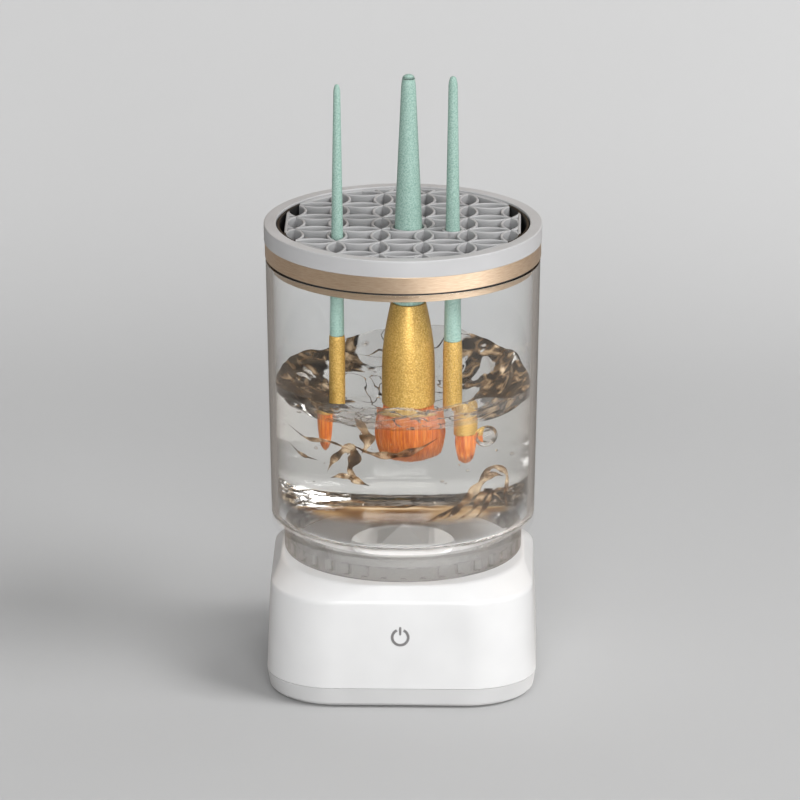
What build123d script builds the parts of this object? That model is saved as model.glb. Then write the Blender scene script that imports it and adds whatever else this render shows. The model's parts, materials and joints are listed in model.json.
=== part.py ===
from build123d import *
import os
from math import acos, atan, atan2, cos, degrees, hypot, pi, radians, sin, sqrt, tan

# A desktop brush cleaner: a square-round motor base, a clear cup that a turntable spins,
# and a lid whose silicone lattice holds the brushes. Millimetres, +Z up.
# The origin is on the table at the base's centre, and the power symbol faces -Y.

# ---------------------------------------------------------------- driving dimensions
# base
BASE_HALF_LOW = 47.7          # half width of the base where it is widest
BASE_HALF_TOP = 46.4          # half width under the crown
BASE_CORNER = 24.0            # corner radius of the base's plan
BAND_BOTTOM = 0.8             # underside of the base, held up by the feet
BAND_TOP = 7.5                # top of the light band round the bottom
SEAM = 0.2                    # gap between the band and the white shell
CROWN_EDGE = 39.2             # where the sides turn into the crown
DECK = 44.5                   # flat top of the base
DECK_HALF = 43.0
DECK_CORNER = 36.0
WALL = 2.2                    # wall of the base mouldings
SYMBOL_HEIGHT = 26.6          # middle of the power symbol
SYMBOL_R = 3.3
SYMBOL_INNER_R = 2.35
SYMBOL_DEPTH = 0.4
SYMBOL_PROUD = 0.1
SOCKET_HEIGHT = 27.2          # middle of the rear socket
SOCKET_WIDE = 9.0
SOCKET_HIGH = 3.2
SOCKET_GAP = 0.3              # gap round the socket in the shell

# turntable
HUB_DISC_R = 18.5
HUB_DISC_LOW = 45.0
HUB_DISC_TOP = 46.4
BOSS_HALF = 9.1               # half side of the square boss
BOSS_EDGE = 47.4              # top of the boss's upright sides
BOSS_APEX = 53.0
SPINDLE_R = 3.0
SPINDLE_LOW = 5.2
SPINDLE_TOP = 50.0
SPINDLE_HOLE_R = 5.5          # hole in the deck for the upper bush and the splash seal
UPPER_BUSH_LOW = 31.0
UPPER_BUSH_TOP = 41.0
LOWER_BUSH_R = 4.6
LOWER_BUSH_TOP = 11.0
SEAL_GAP = 0.3                # washer and splash seal stand clear of the spindle
RUNNING_GAP = 0.05            # radial clearance of a running fit

# cup
CUP_FLOOR_LOW = 55.0
CUP_FLOOR_TOP = 57.5
CUP_RIM = 152.4
CUP_R_LOW = 46.6
CUP_R_RIM = 48.4
CUP_WALL = 2.2
FOOT_R = 42.3
FOOT_BOTTOM = 45.2
FOOT_WALL = 2.2
FOOT_RIBS = 36
RIB_LOW = 46.0
RIB_TOP = 50.0
RIB_DEPTH = 1.0
SOCKET_WALL = 1.6             # wall of the square socket over the boss
BOSS_GAP = 0.3

# lid
RING_R = 49.0
RING_INNER_R = 44.7
RING_LOW = 159.0
RING_TOP = 165.0
BAND_R = 48.7
BAND_LOW = 153.0
SKIRT_LOW = 149.4
SKIRT_R = 45.7
LEDGE_R = 43.2
LEDGE_TOP = 150.8
EASE = 0.5                    # eased edges of the ring
SEAL_R = 48.0

# brush holder: walls on overlapping circles, whose centres stand on a square grid
PITCH = 15.15
WEB = 1.0
HOLDER_LOW = 150.9
HOLDER_TOP = 164.5
HOLDER_R = 44.45
HOLDER_RIM = 0.6
SIDE_CHORD = 41.4             # straight walls left and right
CORNER_CHORD = 43.4           # straight walls across the four corners
COLLAR_WALL = 1.0

# brushes: (x, y) where each one stands, and the height of its tip
LARGE_AT = (2.0, -4.0)
LEFT_AT = (-22.7, -15.15)
RIGHT_AT = (17.6, -7.6)
LARGE_TIP = 219.7
LEFT_TIP = 219.0
RIGHT_TIP = 220.1
LARGE_HOLE = 5.6              # holes of the two collars in the lattice
RIGHT_HOLE = 3.0

# gear train
MODULE = 0.8
PRESSURE_ANGLE = radians(25)
ADDENDUM = 0.8                # stub teeth, in modules
DEDENDUM = 1.15
BACKLASH = 0.12
MAIN_TEETH = 43
SMALL_TEETH = 14
LARGE_TEETH = 38
PINION_TEETH = 12
MOTOR_OUT = 22.5              # the motor stands at (MOTOR_OUT, MOTOR_OUT)
MOTOR_R = 12.0
SHELF_TOP = 14.6              # the motor hangs down onto this shelf
MOTOR_TOP = 38.6
PLATE_LOW = 5.0
PLATE_TOP = 7.0
PIN_R = 1.5
PIN_TOP = 22.0
MOTOR_SHAFT_R = 1.2
MOTOR_CAP_TOP = 40.2
MAGNET_R = 11.1
MAGNET_INNER_R = 8.9
ARMATURE_R = 8.2
PINION_FACE = (8.6, 12.9)     # lowest and highest plane of each gear's teeth
LARGE_FACE = (9.0, 12.5)
SMALL_FACE = (12.5, 20.5)
MAIN_FACE = (15.2, 20.2)
MAIN_BOSS_TOP = 28.0

# fixings
FOOT_AT = 30.0
PAD_R = 4.5                   # rubber feet
PAD_SUNK = 0.8
SCREW_AT = 36.8
SCREW_R = 1.15
SCREW_HEAD_R = 2.4
SCREW_HEAD_LOW = 1.2
SCREW_HEAD_TOP = 3.0
SHELL_BOSS_R = 3.4
COVER_TUBE_R = 4.0
CHASSIS_POSTS = [(-13, -11), (27, -11), (-13, 27)]
BOARD_POSTS = [(-22, 35), (5, 35)]
BOARD_LOW = 24.0
BOARD_TOP = 25.6
BATTERY_R = 9.0
BATTERY_AT = (-30.0, 13.0)    # (y, z) of the cell's axis, which lies along X

# ---------------------------------------------------------------- worked out from them
FLOOR = BAND_BOTTOM + 2.0     # inside floor of the bottom cover
SHELL_LOW = BAND_TOP + SEAM
LEAN = atan((BASE_HALF_LOW - BASE_HALF_TOP) / (CROWN_EDGE - SHELL_LOW))
MAIN_R = MODULE * MAIN_TEETH / 2
SMALL_R = MODULE * SMALL_TEETH / 2
LARGE_R = MODULE * LARGE_TEETH / 2
PINION_R = MODULE * PINION_TEETH / 2
MOTOR_AT = (MOTOR_OUT, MOTOR_OUT)
MOTOR_DISTANCE = hypot(*MOTOR_AT)
FIRST_CENTRES = MAIN_R + SMALL_R
SECOND_CENTRES = LARGE_R + PINION_R
SWING = acos((MOTOR_DISTANCE**2 + FIRST_CENTRES**2 - SECOND_CENTRES**2)
             / (2 * MOTOR_DISTANCE * FIRST_CENTRES))
PIN_ANGLE = radians(45) - SWING
PIN_AT = (FIRST_CENTRES * cos(PIN_ANGLE), FIRST_CENTRES * sin(PIN_ANGLE))
MOTOR_ANGLE = atan2(MOTOR_AT[1] - PIN_AT[1], MOTOR_AT[0] - PIN_AT[0])
LATTICE_R = PITCH / sqrt(2)

parts = {}


# ---------------------------------------------------------------- helpers
def turned(points):
    """A closed outline of (radius, height) corners, turned about Z."""
    outline = Polyline(*[(r, 0, z) for r, z in points], close=True)
    return revolve(make_face(outline.edges()), Axis.Z)


def disc(radius, low, top, at=(0, 0)):
    return Pos(at[0], at[1], low) * extrude(Circle(radius), top - low)


def tube(outer, inner, low, top, at=(0, 0)):
    return Pos(at[0], at[1], low) * extrude(Circle(outer) - Circle(inner), top - low)


def block(x, y, z):
    """A box from pairs of lowest and highest corners."""
    size = (x[1] - x[0], y[1] - y[0], z[1] - z[0])
    return Pos(sum(x) / 2, sum(y) / 2, sum(z) / 2) * Box(*size)


def rounded_square(half, corner, z):
    return Pos(0, 0, z) * RectangleRounded(2 * half, 2 * half, corner)


def corners(distance):
    return [(sx * distance, sy * distance) for sx in (-1, 1) for sy in (-1, 1)]


def half_width(z):
    """Half width of the white shell's leaning sides at a height."""
    return BASE_HALF_LOW - (z - SHELL_LOW) * tan(LEAN)


def involute(angle):
    return tan(angle) - angle


def gear(teeth, low, top, bore):
    """A spur gear about Z, with the middle of one tooth on +X."""
    pitch_r = MODULE * teeth / 2
    base_r = pitch_r * cos(PRESSURE_ANGLE)
    tip_r = pitch_r + ADDENDUM * MODULE
    root_r = pitch_r - DEDENDUM * MODULE
    start_r = max(base_r, root_r)
    half_tooth = pi / (2 * teeth) - BACKLASH / (4 * pitch_r)
    steps = 4
    flank = [(root_r, half_tooth + involute(PRESSURE_ANGLE) - involute(acos(base_r / start_r)))]
    for step in range(steps + 1):
        radius = start_r + 0.02 + (tip_r - start_r - 0.02) * step / steps
        turn = half_tooth + involute(PRESSURE_ANGLE) - involute(acos(base_r / radius))
        flank.append((radius, turn))
    points = []
    for tooth in range(teeth):
        middle = 2 * pi * tooth / teeth
        points += [(r * cos(middle - a), r * sin(middle - a)) for r, a in flank]
        points += [(r * cos(middle + a), r * sin(middle + a)) for r, a in reversed(flank)]
    outline = make_face(Polyline(*points, close=True).edges())
    return Pos(0, 0, low) * extrude(outline - Circle(bore), top - low)


def screw(at, head_low, head_top, tip, shank_r=SCREW_R, head_r=SCREW_HEAD_R):
    """A pan-head screw with a cross recess; its tip is above or below its head."""
    x, y = at
    head = disc(head_r, head_low, head_top, at)
    upwards = tip > head_top
    shank_low = head_top if upwards else tip
    shank_top = tip if upwards else head_low
    face = head_low if upwards else head_top
    depth = 0.4 * (head_top - head_low)
    length = 1.2 * head_r
    across = 0.3 * head_r
    cross = Pos(x, y, face) * (Box(length, across, 2 * depth) + Box(across, length, 2 * depth))
    return head + disc(shank_r, shank_low, shank_top, at) - cross


# ---------------------------------------------------------------- base
def base_shell():
    """White shell: leaning sides, a crown that goes from square to round, and a flat deck."""
    outer = loft([rounded_square(BASE_HALF_LOW, BASE_CORNER, SHELL_LOW),
                  rounded_square(BASE_HALF_TOP, BASE_CORNER, CROWN_EDGE),
                  rounded_square(DECK_HALF, DECK_CORNER, DECK)], ruled=True)
    inner_corner = BASE_CORNER - WALL
    inner = loft([rounded_square(BASE_HALF_LOW - WALL, inner_corner, SHELL_LOW - 1),
                  rounded_square(BASE_HALF_TOP - WALL, inner_corner, CROWN_EDGE - 1),
                  rounded_square(DECK_HALF - WALL, DECK_CORNER - WALL, DECK - WALL)], ruled=True)
    shell = outer - inner
    bush_seat = UPPER_BUSH_LOW - 1
    shell += disc(SPINDLE_HOLE_R + 3, bush_seat, DECK - 1)
    for at in corners(SCREW_AT):
        shell += disc(SHELL_BOSS_R, SHELL_LOW + 0.1, 30, at) & outer
        shell -= disc(1.2, SHELL_LOW, 24, at)
    shell -= disc(SPINDLE_HOLE_R, bush_seat - 1, DECK + 1)
    opening = SlotOverall(SOCKET_WIDE + 2 * SOCKET_GAP, SOCKET_HIGH + 2 * SOCKET_GAP)
    shell -= extrude(Pos(0, BASE_HALF_LOW, SOCKET_HEIGHT) * Rot(90, 0, 0) * opening,
                     amount=6, both=True)
    shell -= symbol(depth=SYMBOL_DEPTH, proud=1.0)
    return shell


def symbol_plane():
    """The leaning front face, centred where the power symbol sits."""
    return Plane(origin=(0, -half_width(SYMBOL_HEIGHT), SYMBOL_HEIGHT), x_dir=(1, 0, 0),
                 z_dir=(0, -cos(LEAN), sin(LEAN)))


def symbol(depth, proud):
    """An open ring with a short bar through its gap."""
    gap = make_face(Polyline((0, 0.6), (3.2, 6.0), (-3.2, 6.0), close=True).edges())
    ring = Circle(SYMBOL_R) - Circle(SYMBOL_INNER_R) - gap
    bar = Pos(0, 2.3) * SlotOverall(3.1, 0.8, rotation=90)
    sunk = symbol_plane().offset(-depth)
    return extrude(sunk * (ring + bar), depth + proud)


def bottom_cover():
    """Light tray under the shell, with its posts, feet pockets and screw tubes."""
    cover = loft([rounded_square(BASE_HALF_LOW - 2.0, BASE_CORNER - 1, BAND_BOTTOM),
                  rounded_square(BASE_HALF_LOW - 1.0, BASE_CORNER, BAND_BOTTOM + 1.0),
                  rounded_square(BASE_HALF_LOW, BASE_CORNER, BAND_TOP)], ruled=True)
    lip_half = BASE_HALF_LOW - WALL - 0.3
    lip_corner = BASE_CORNER - WALL - 0.3
    cover += extrude(rounded_square(lip_half, lip_corner, BAND_TOP), 2.0)
    cover -= extrude(rounded_square(lip_half - 1.8, lip_corner - 1.8, FLOOR), 20)
    for at in corners(SCREW_AT):
        cover -= disc(SHELL_BOSS_R + 0.4, BAND_TOP, BAND_TOP + 3, at)
        cover += disc(COVER_TUBE_R, FLOOR - 1, BAND_TOP, at)
        cover -= disc(SCREW_HEAD_R + 0.2, BAND_BOTTOM - 1, SCREW_HEAD_TOP, at)
        cover -= disc(1.5, 0, 20, at)
    for at in corners(FOOT_AT):
        cover -= disc(PAD_R + 0.1, BAND_BOTTOM - 1, BAND_BOTTOM + PAD_SUNK, at)
    for at in CHASSIS_POSTS:
        cover += tube(2.5, 1.0, FLOOR, PLATE_LOW, at)
    for at in BOARD_POSTS:
        cover += tube(2.2, 0.95, FLOOR, BOARD_LOW, at)
    return cover


parts["base_shell"] = base_shell()
parts["bottom_cover"] = bottom_cover()
parts["power_symbol"] = symbol(depth=SYMBOL_DEPTH, proud=SYMBOL_PROUD)
parts["rubber_feet"] = [disc(PAD_R, 0, BAND_BOTTOM + PAD_SUNK, at) for at in corners(FOOT_AT)]
parts["base_screws"] = [screw(at, SCREW_HEAD_LOW, SCREW_HEAD_TOP, 20) for at in corners(SCREW_AT)]


def touch_sensor_pad():
    """Thin sensing plate behind the front wall, level with the symbol."""
    inside = symbol_plane().offset(-WALL - 0.1)
    return extrude(inside * RectangleRounded(14, 14, 2), -0.8)


parts["touch_sensor_pad"] = touch_sensor_pad()


# ---------------------------------------------------------------- gearbox and motor
def gearbox_chassis():
    """Plate with bosses for the spindle and the pin, and a shelf on three posts."""
    chassis = block((-17, 31), (-15, 31), (PLATE_LOW, PLATE_TOP))
    chassis = fillet(chassis.edges().filter_by(Axis.Z), 4)
    chassis += disc(13.6, PLATE_LOW, PLATE_TOP, MOTOR_AT)
    chassis += disc(LOWER_BUSH_R + 1.7, PLATE_LOW, LOWER_BUSH_TOP)
    chassis += disc(3.0, PLATE_LOW, 8.8, PIN_AT)
    for turn in (25, 90, 155):
        at = (MOTOR_AT[0] + 11.8 * cos(radians(turn)), MOTOR_AT[1] + 11.8 * sin(radians(turn)))
        chassis += disc(1.6, PLATE_TOP, SHELF_TOP, at)
    shelf = tube(13.6, 3.5, SHELF_TOP - 1.4, SHELF_TOP, MOTOR_AT)
    chassis += shelf - disc(8.2, 12, 16, PIN_AT)
    chassis -= disc(LOWER_BUSH_R, 0, 20)
    chassis -= disc(PIN_R, 0, 20, PIN_AT)
    for at in CHASSIS_POSTS:
        chassis -= disc(1.3, 0, 20, at)
    for at in MOTOR_SCREWS:
        chassis -= disc(1.1, 12, 16, at)
    return chassis


def beside_motor(distance):
    """Two points either side of the motor's axis, square to the line of gears."""
    across = MOTOR_ANGLE + pi / 2
    return [(MOTOR_AT[0] + side * distance * cos(across),
             MOTOR_AT[1] + side * distance * sin(across)) for side in (-1, 1)]


MOTOR_SCREWS = beside_motor(8.5)

parts["gearbox_chassis"] = gearbox_chassis()
parts["chassis_screws"] = [screw(at, PLATE_TOP, 8.4, FLOOR + 0.4, 0.95, 2.0) for at in CHASSIS_POSTS]
parts["motor_screws"] = [screw(at, 11.9, SHELF_TOP - 1.4, 15.5, 0.9, 1.8) for at in MOTOR_SCREWS]
parts["reduction_pin"] = disc(PIN_R, PLATE_LOW, PIN_TOP, PIN_AT)
parts["pin_clip"] = tube(2 * PIN_R, PIN_R, PIN_TOP - 1.1, PIN_TOP - 0.5, PIN_AT) - (
    Pos(PIN_AT[0] + 3, PIN_AT[1], PIN_TOP - 1) * Box(6, 1.8, 3))


def motor_can():
    can = disc(MOTOR_R, SHELF_TOP, MOTOR_TOP, MOTOR_AT)
    can -= disc(MOTOR_R - 0.8, SHELF_TOP + 1.0, MOTOR_TOP + 1, MOTOR_AT)
    can -= disc(MOTOR_SHAFT_R + RUNNING_GAP, 10, 20, MOTOR_AT)
    for at in MOTOR_SCREWS:
        can -= disc(0.95, 14, 16, at)
    return can


def magnets():
    ring = tube(MAGNET_R, MAGNET_INNER_R, 18, 34, MOTOR_AT)
    gap = Pos(MOTOR_AT[0], MOTOR_AT[1], 26) * Box(30, 5, 30)
    return ring - gap


parts["motor_can"] = motor_can()
parts["motor_magnets"] = magnets()
parts["motor_end_cap"] = tube(MOTOR_R, MOTOR_SHAFT_R + RUNNING_GAP, MOTOR_TOP, MOTOR_CAP_TOP,
                              MOTOR_AT)

# motor rotor
armature = tube(ARMATURE_R, MOTOR_SHAFT_R, 19, 33, MOTOR_AT)
for slot in range(5):
    turn = 72 * slot
    armature -= Pos(MOTOR_AT[0], MOTOR_AT[1], 26) * Rot(0, 0, turn) * Pos(7, 0, 0) * Box(6, 1.4, 20)
parts["motor_armature"] = armature
parts["motor_shaft"] = disc(MOTOR_SHAFT_R, 8.0, MOTOR_CAP_TOP, MOTOR_AT)
gap_turn = degrees(MOTOR_ANGLE) + 180 + 180 / PINION_TEETH
parts["pinion_gear"] = Pos(*MOTOR_AT, 0) * Rot(0, 0, gap_turn) * gear(
    PINION_TEETH, *PINION_FACE, MOTOR_SHAFT_R)


def reduction_gear():
    """Compound gear: the large wheel takes the pinion, the small one drives the main gear."""
    large = Rot(0, 0, degrees(MOTOR_ANGLE)) * gear(LARGE_TEETH, *LARGE_FACE, PIN_R + RUNNING_GAP)
    turn = degrees(PIN_ANGLE) + 180 + 180 / SMALL_TEETH
    small = Rot(0, 0, turn) * gear(SMALL_TEETH, *SMALL_FACE, PIN_R + RUNNING_GAP)
    return Pos(*PIN_AT, 0) * (large + small)


parts["reduction_gear"] = reduction_gear()


# ---------------------------------------------------------------- turntable
def drive_hub():
    """White disc with a square boss that comes to a low pyramid."""
    hub = disc(HUB_DISC_R, HUB_DISC_LOW, HUB_DISC_TOP)
    hub += extrude(Pos(0, 0, HUB_DISC_TOP) * Rectangle(2 * BOSS_HALF, 2 * BOSS_HALF),
                   BOSS_EDGE - HUB_DISC_TOP)
    apex_half = 0.3
    hub += loft([Pos(0, 0, BOSS_EDGE) * Rectangle(2 * BOSS_HALF, 2 * BOSS_HALF),
                 Pos(0, 0, BOSS_APEX) * Rectangle(2 * apex_half, 2 * apex_half)], ruled=True)
    return hub - disc(SPINDLE_R, 40, 50)


main_gear = (gear(MAIN_TEETH, *MAIN_FACE, SPINDLE_R)
             + tube(7, SPINDLE_R, MAIN_FACE[1], MAIN_BOSS_TOP))
parts["drive_hub"] = drive_hub()
parts["spindle_shaft"] = disc(SPINDLE_R, SPINDLE_LOW, SPINDLE_TOP)
parts["main_gear"] = Rot(0, 0, degrees(PIN_ANGLE)) * main_gear
parts["spindle_clip"] = tube(5.2, SPINDLE_R, MAIN_BOSS_TOP + 0.6, MAIN_BOSS_TOP + 1.4) - (
    Pos(4, 0, MAIN_BOSS_TOP + 1) * Box(6, 3.2, 3))
parts["spindle_upper_bush"] = tube(SPINDLE_HOLE_R, SPINDLE_R + RUNNING_GAP, UPPER_BUSH_LOW,
                                   UPPER_BUSH_TOP)
parts["spindle_lower_bush"] = tube(LOWER_BUSH_R, SPINDLE_R + RUNNING_GAP, PLATE_LOW,
                                   LOWER_BUSH_TOP)
parts["splash_seal"] = tube(SPINDLE_HOLE_R, SPINDLE_R + SEAL_GAP, UPPER_BUSH_TOP + 0.6, DECK - 0.2)
parts["thrust_washer"] = tube(7.5, SPINDLE_R + SEAL_GAP, DECK, HUB_DISC_LOW - 0.02)


# ---------------------------------------------------------------- power
def circuit_board():
    """Board on two posts behind the gears, with its larger components."""
    board = block((-26, 8), (27, 42.3), (BOARD_LOW, BOARD_TOP))
    for at in BOARD_POSTS:
        board -= disc(1.2, BOARD_LOW - 1, BOARD_TOP + 1, at)
    board += block((-12, -6), (30, 36), (BOARD_TOP, BOARD_TOP + 1.2))
    board += block((-18, -13), (37, 42), (BOARD_TOP, BOARD_TOP + 2.6))
    board += disc(3.0, BOARD_TOP, BOARD_TOP + 6, (1, 30.5))
    return board


def charging_socket():
    """Rear socket: a flattened metal tube with a contact tongue."""
    middle = Pos(0, 45.6, SOCKET_HEIGHT) * Rot(90, 0, 0)
    sheet = 0.3
    can = extrude(middle * SlotOverall(SOCKET_WIDE, SOCKET_HIGH), 7.3)
    can -= extrude(middle * SlotOverall(SOCKET_WIDE - 2 * sheet, SOCKET_HIGH - 2 * sheet), 6.0)
    tongue = (SOCKET_HEIGHT - 0.35, SOCKET_HEIGHT + 0.35)
    return can + block((-3.3, 3.3), (39.5, 43.8), tongue)


def lying_cylinder(radius, half_length):
    y, z = BATTERY_AT
    return Pos(0, y, z) * Rot(0, 90, 0) * Cylinder(radius, 2 * half_length)


parts["circuit_board"] = circuit_board()
parts["board_screws"] = [screw(at, BOARD_TOP, BOARD_TOP + 1.3, 17, 0.9, 1.9) for at in BOARD_POSTS]
parts["charging_socket"] = charging_socket()
parts["battery_cell"] = lying_cylinder(BATTERY_R, 25) + lying_cylinder(2.8, 26)
parts["battery_cradle"] = (block((-24, 24), (-39.5, -20.5), (FLOOR, 9))
                           - lying_cylinder(BATTERY_R + 0.1, 40)
                           - block((-16, 16), (-50, 0), (FLOOR + 1.2, 20)))


# ---------------------------------------------------------------- cup
def clear_cup():
    """One clear moulding: tapered wall, floor, narrower foot and the socket over the boss."""
    inner_low = CUP_R_LOW - CUP_WALL
    foot_inner = FOOT_R - FOOT_WALL
    cup = turned([(0, CUP_FLOOR_LOW), (foot_inner, CUP_FLOOR_LOW),
                  (foot_inner - 0.1, FOOT_BOTTOM + 0.3), (foot_inner + 0.2, FOOT_BOTTOM),
                  (FOOT_R - 0.6, FOOT_BOTTOM), (FOOT_R - 0.2, FOOT_BOTTOM + 0.4),
                  (FOOT_R, CUP_FLOOR_LOW), (CUP_R_LOW - 0.8, CUP_FLOOR_LOW),
                  (CUP_R_LOW, CUP_FLOOR_LOW + 0.8),
                  (CUP_R_RIM, CUP_RIM - 0.3), (CUP_R_RIM - 0.3, CUP_RIM),
                  (CUP_R_RIM - CUP_WALL, CUP_RIM),
                  (inner_low, CUP_FLOOR_TOP + 2), (inner_low - 2, CUP_FLOOR_TOP),
                  (0, CUP_FLOOR_TOP)])
    socket_inner = BOSS_HALF + BOSS_GAP
    socket_outer = socket_inner + SOCKET_WALL
    socket = Rectangle(2 * socket_outer, 2 * socket_outer) - Rectangle(2 * socket_inner,
                                                                       2 * socket_inner)
    cup += extrude(Pos(0, 0, HUB_DISC_TOP) * socket, CUP_FLOOR_LOW - HUB_DISC_TOP)
    rib = block((foot_inner - RIB_DEPTH, foot_inner + 0.4), (-0.4, 0.4), (RIB_LOW, RIB_TOP))
    for count in range(FOOT_RIBS):
        cup += Rot(0, 0, 360 * count / FOOT_RIBS) * rib
    return cup


parts["clear_cup"] = clear_cup()

# ---------------------------------------------------------------- lid
parts["top_ring"] = turned([(RING_INNER_R, RING_LOW), (RING_R - 0.2, RING_LOW),
                            (RING_R, RING_LOW + 0.2), (RING_R, RING_TOP - EASE),
                            (RING_R - EASE, RING_TOP), (RING_INNER_R + EASE, RING_TOP),
                            (RING_INNER_R, RING_TOP - EASE)])
parts["gold_band"] = turned([(SKIRT_R, BAND_LOW), (BAND_R, BAND_LOW), (BAND_R, RING_LOW),
                             (RING_INNER_R, RING_LOW), (RING_INNER_R, LEDGE_TOP),
                             (LEDGE_R, LEDGE_TOP), (LEDGE_R, SKIRT_LOW), (SKIRT_R, SKIRT_LOW)])
parts["lid_seal"] = tube(SEAL_R, SKIRT_R + 0.6, CUP_RIM, BAND_LOW)


def lattice_cells():
    """The lattice's openings as flat faces: two kinds of lens, and a star between four circles."""
    inner = Circle(LATTICE_R - WEB / 2)
    upright = (Pos(-PITCH / 2, 0) * inner) & (Pos(PITCH / 2, 0) * inner)
    outer = Circle(LATTICE_R + WEB / 2)
    star = Rectangle(PITCH, PITCH)
    for x, y in ((PITCH, 0), (-PITCH, 0), (0, PITCH), (0, -PITCH)):
        star -= Pos(x, y) * outer
    cells = []
    reach = range(-3, 4)
    for i in reach:
        for j in reach:
            cells.append(Pos(i * PITCH, j * PITCH) * star)
            cells.append(Pos((i + 0.5) * PITCH, j * PITCH) * upright)
            cells.append(Pos(i * PITCH, (j + 0.5) * PITCH) * Rot(0, 0, 90) * upright)
    return cells


def chord_field(side, corner):
    """The field inside the straight walls, as an eight-sided face open to front and back."""
    reach = 60
    corner_x = corner * sqrt(2)
    return make_face(Polyline((side, corner_x - side), (corner_x - reach, reach),
                              (reach - corner_x, reach), (-side, corner_x - side),
                              (-side, side - corner_x), (reach - corner_x, -reach),
                              (corner_x - reach, -reach), (side, side - corner_x),
                              close=True).edges())


def brush_holder():
    """Silicone lattice inside a thin rim, stretched round the brushes' handles."""
    inside = Circle(HOLDER_R - HOLDER_RIM)
    field = chord_field(SIDE_CHORD - WEB, CORNER_CHORD - WEB) & inside
    slots = inside - chord_field(SIDE_CHORD, CORNER_CHORD)
    height = HOLDER_TOP - HOLDER_LOW
    holder = disc(HOLDER_R, HOLDER_LOW, HOLDER_TOP)
    openings = [face for cell in lattice_cells() for face in (cell & field).faces()
                if face.area > 1.0]
    openings += slots.faces()
    cutters = [Pos(0, 0, HOLDER_LOW - 1) * extrude(face, height + 2) for face in openings]
    holder = holder.cut(*cutters)
    for at, hole in ((LARGE_AT, LARGE_HOLE), (RIGHT_AT, RIGHT_HOLE)):
        holder += disc(hole + COLLAR_WALL, HOLDER_LOW, HOLDER_TOP, at)
        holder -= disc(hole, HOLDER_LOW - 1, HOLDER_TOP + 1, at)
    return holder


parts["brush_holder"] = brush_holder()


# ---------------------------------------------------------------- brushes
def brush(at, handle, ferrule, bristles):
    """Three turned pieces on one upright axis: handle, ferrule and bristle head."""
    return [Pos(*at, 0) * turned(outline) for outline in (handle, ferrule, bristles)]


large = brush(
    LARGE_AT,
    handle=[(0, 128), (5.2, 128), (5.2, 137.1), (5.7, 137.1), (4.87, 164.5), (2.5, 217),
            (2.1, LARGE_TIP - 0.9), (1.2, LARGE_TIP - 0.2), (0, LARGE_TIP)],
    ferrule=[(5.3, 126), (5.3, 137), (5.86, 137), (6.2, 134), (9.2, 121.5), (9.4, 119),
             (9.4, 100), (8.9, 100), (8.9, 119)],
    bristles=[(0, 116), (8.8, 116), (8.8, 100), (9.6, 94), (9.9, 89), (9.2, 85.2),
              (6.4, 82.6), (0, 81.6)])
left = brush(
    LEFT_AT,
    handle=[(0, 119), (2.2, 119), (2.2, 128.1), (2.5, 128.1), (2.08, 164.5), (1.2, 217),
            (0.7, LEFT_TIP - 0.4), (0, LEFT_TIP)],
    ferrule=[(2.3, 117), (2.3, 128), (2.65, 128), (2.8, 126), (2.8, 101), (2.4, 101), (2.4, 117)],
    bristles=[(0, 114), (2.3, 114), (2.3, 101), (2.5, 96), (2.2, 91), (0, 87.3)])
right = brush(
    RIGHT_AT,
    handle=[(0, 115), (2.7, 115), (2.7, 124.1), (3.0, 124.1), (2.5, 164.5), (1.6, 217.5),
            (1.0, RIGHT_TIP - 0.5), (0, RIGHT_TIP)],
    ferrule=[(2.8, 113), (2.8, 124), (3.2, 124), (3.4, 120), (3.4, 92), (3.0, 92), (3.0, 113)],
    bristles=[(0, 104), (3.0, 104), (3.0, 92), (3.2, 87.5), (2.7, 83.2), (1.6, 81.7), (0, 81.3)])
for name, pieces in (("large_brush", large), ("left_brush", left), ("right_brush", right)):
    for piece_name, piece in zip(("handle", "ferrule", "bristles"), pieces):
        parts[f"{name}_{piece_name}"] = piece

# ---------------------------------------------------------------- files
os.makedirs("parts", exist_ok=True)
for name, shape in parts.items():
    solids = shape if isinstance(shape, list) else shape.solids()
    single = solids[0] if len(solids) == 1 else Compound(children=[s.solid() for s in solids])
    export_step(single, f"parts/{name}.step")
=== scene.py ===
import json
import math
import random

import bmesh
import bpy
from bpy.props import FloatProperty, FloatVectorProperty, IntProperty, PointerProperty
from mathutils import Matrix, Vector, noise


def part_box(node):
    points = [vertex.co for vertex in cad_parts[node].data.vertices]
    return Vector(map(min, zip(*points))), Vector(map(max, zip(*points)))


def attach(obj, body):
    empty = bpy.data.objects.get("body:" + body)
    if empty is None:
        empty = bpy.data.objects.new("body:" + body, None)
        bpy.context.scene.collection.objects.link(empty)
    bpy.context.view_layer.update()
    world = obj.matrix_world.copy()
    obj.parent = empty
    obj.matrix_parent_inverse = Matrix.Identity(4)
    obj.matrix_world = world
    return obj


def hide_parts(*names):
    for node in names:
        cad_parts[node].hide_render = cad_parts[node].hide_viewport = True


bl_info = {
    "name": "Brush Cleaner",
    "version": (1, 0, 0),
    "blender": (4, 5, 0),
    "location": "3D View > Sidebar > Brush Cleaner",
    "description": "Builds a desktop brush cleaner: motor base, clear cup, lid and brushes",
    "category": "Add Mesh",
}

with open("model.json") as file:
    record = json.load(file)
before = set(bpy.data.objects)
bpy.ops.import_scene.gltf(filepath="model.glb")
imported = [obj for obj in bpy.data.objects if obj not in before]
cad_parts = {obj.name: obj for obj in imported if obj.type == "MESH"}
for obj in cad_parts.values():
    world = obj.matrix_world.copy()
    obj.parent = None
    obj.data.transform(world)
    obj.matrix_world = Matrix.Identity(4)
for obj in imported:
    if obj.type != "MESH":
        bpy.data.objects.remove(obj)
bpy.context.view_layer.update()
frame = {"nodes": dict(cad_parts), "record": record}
MM = 0.001


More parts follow.
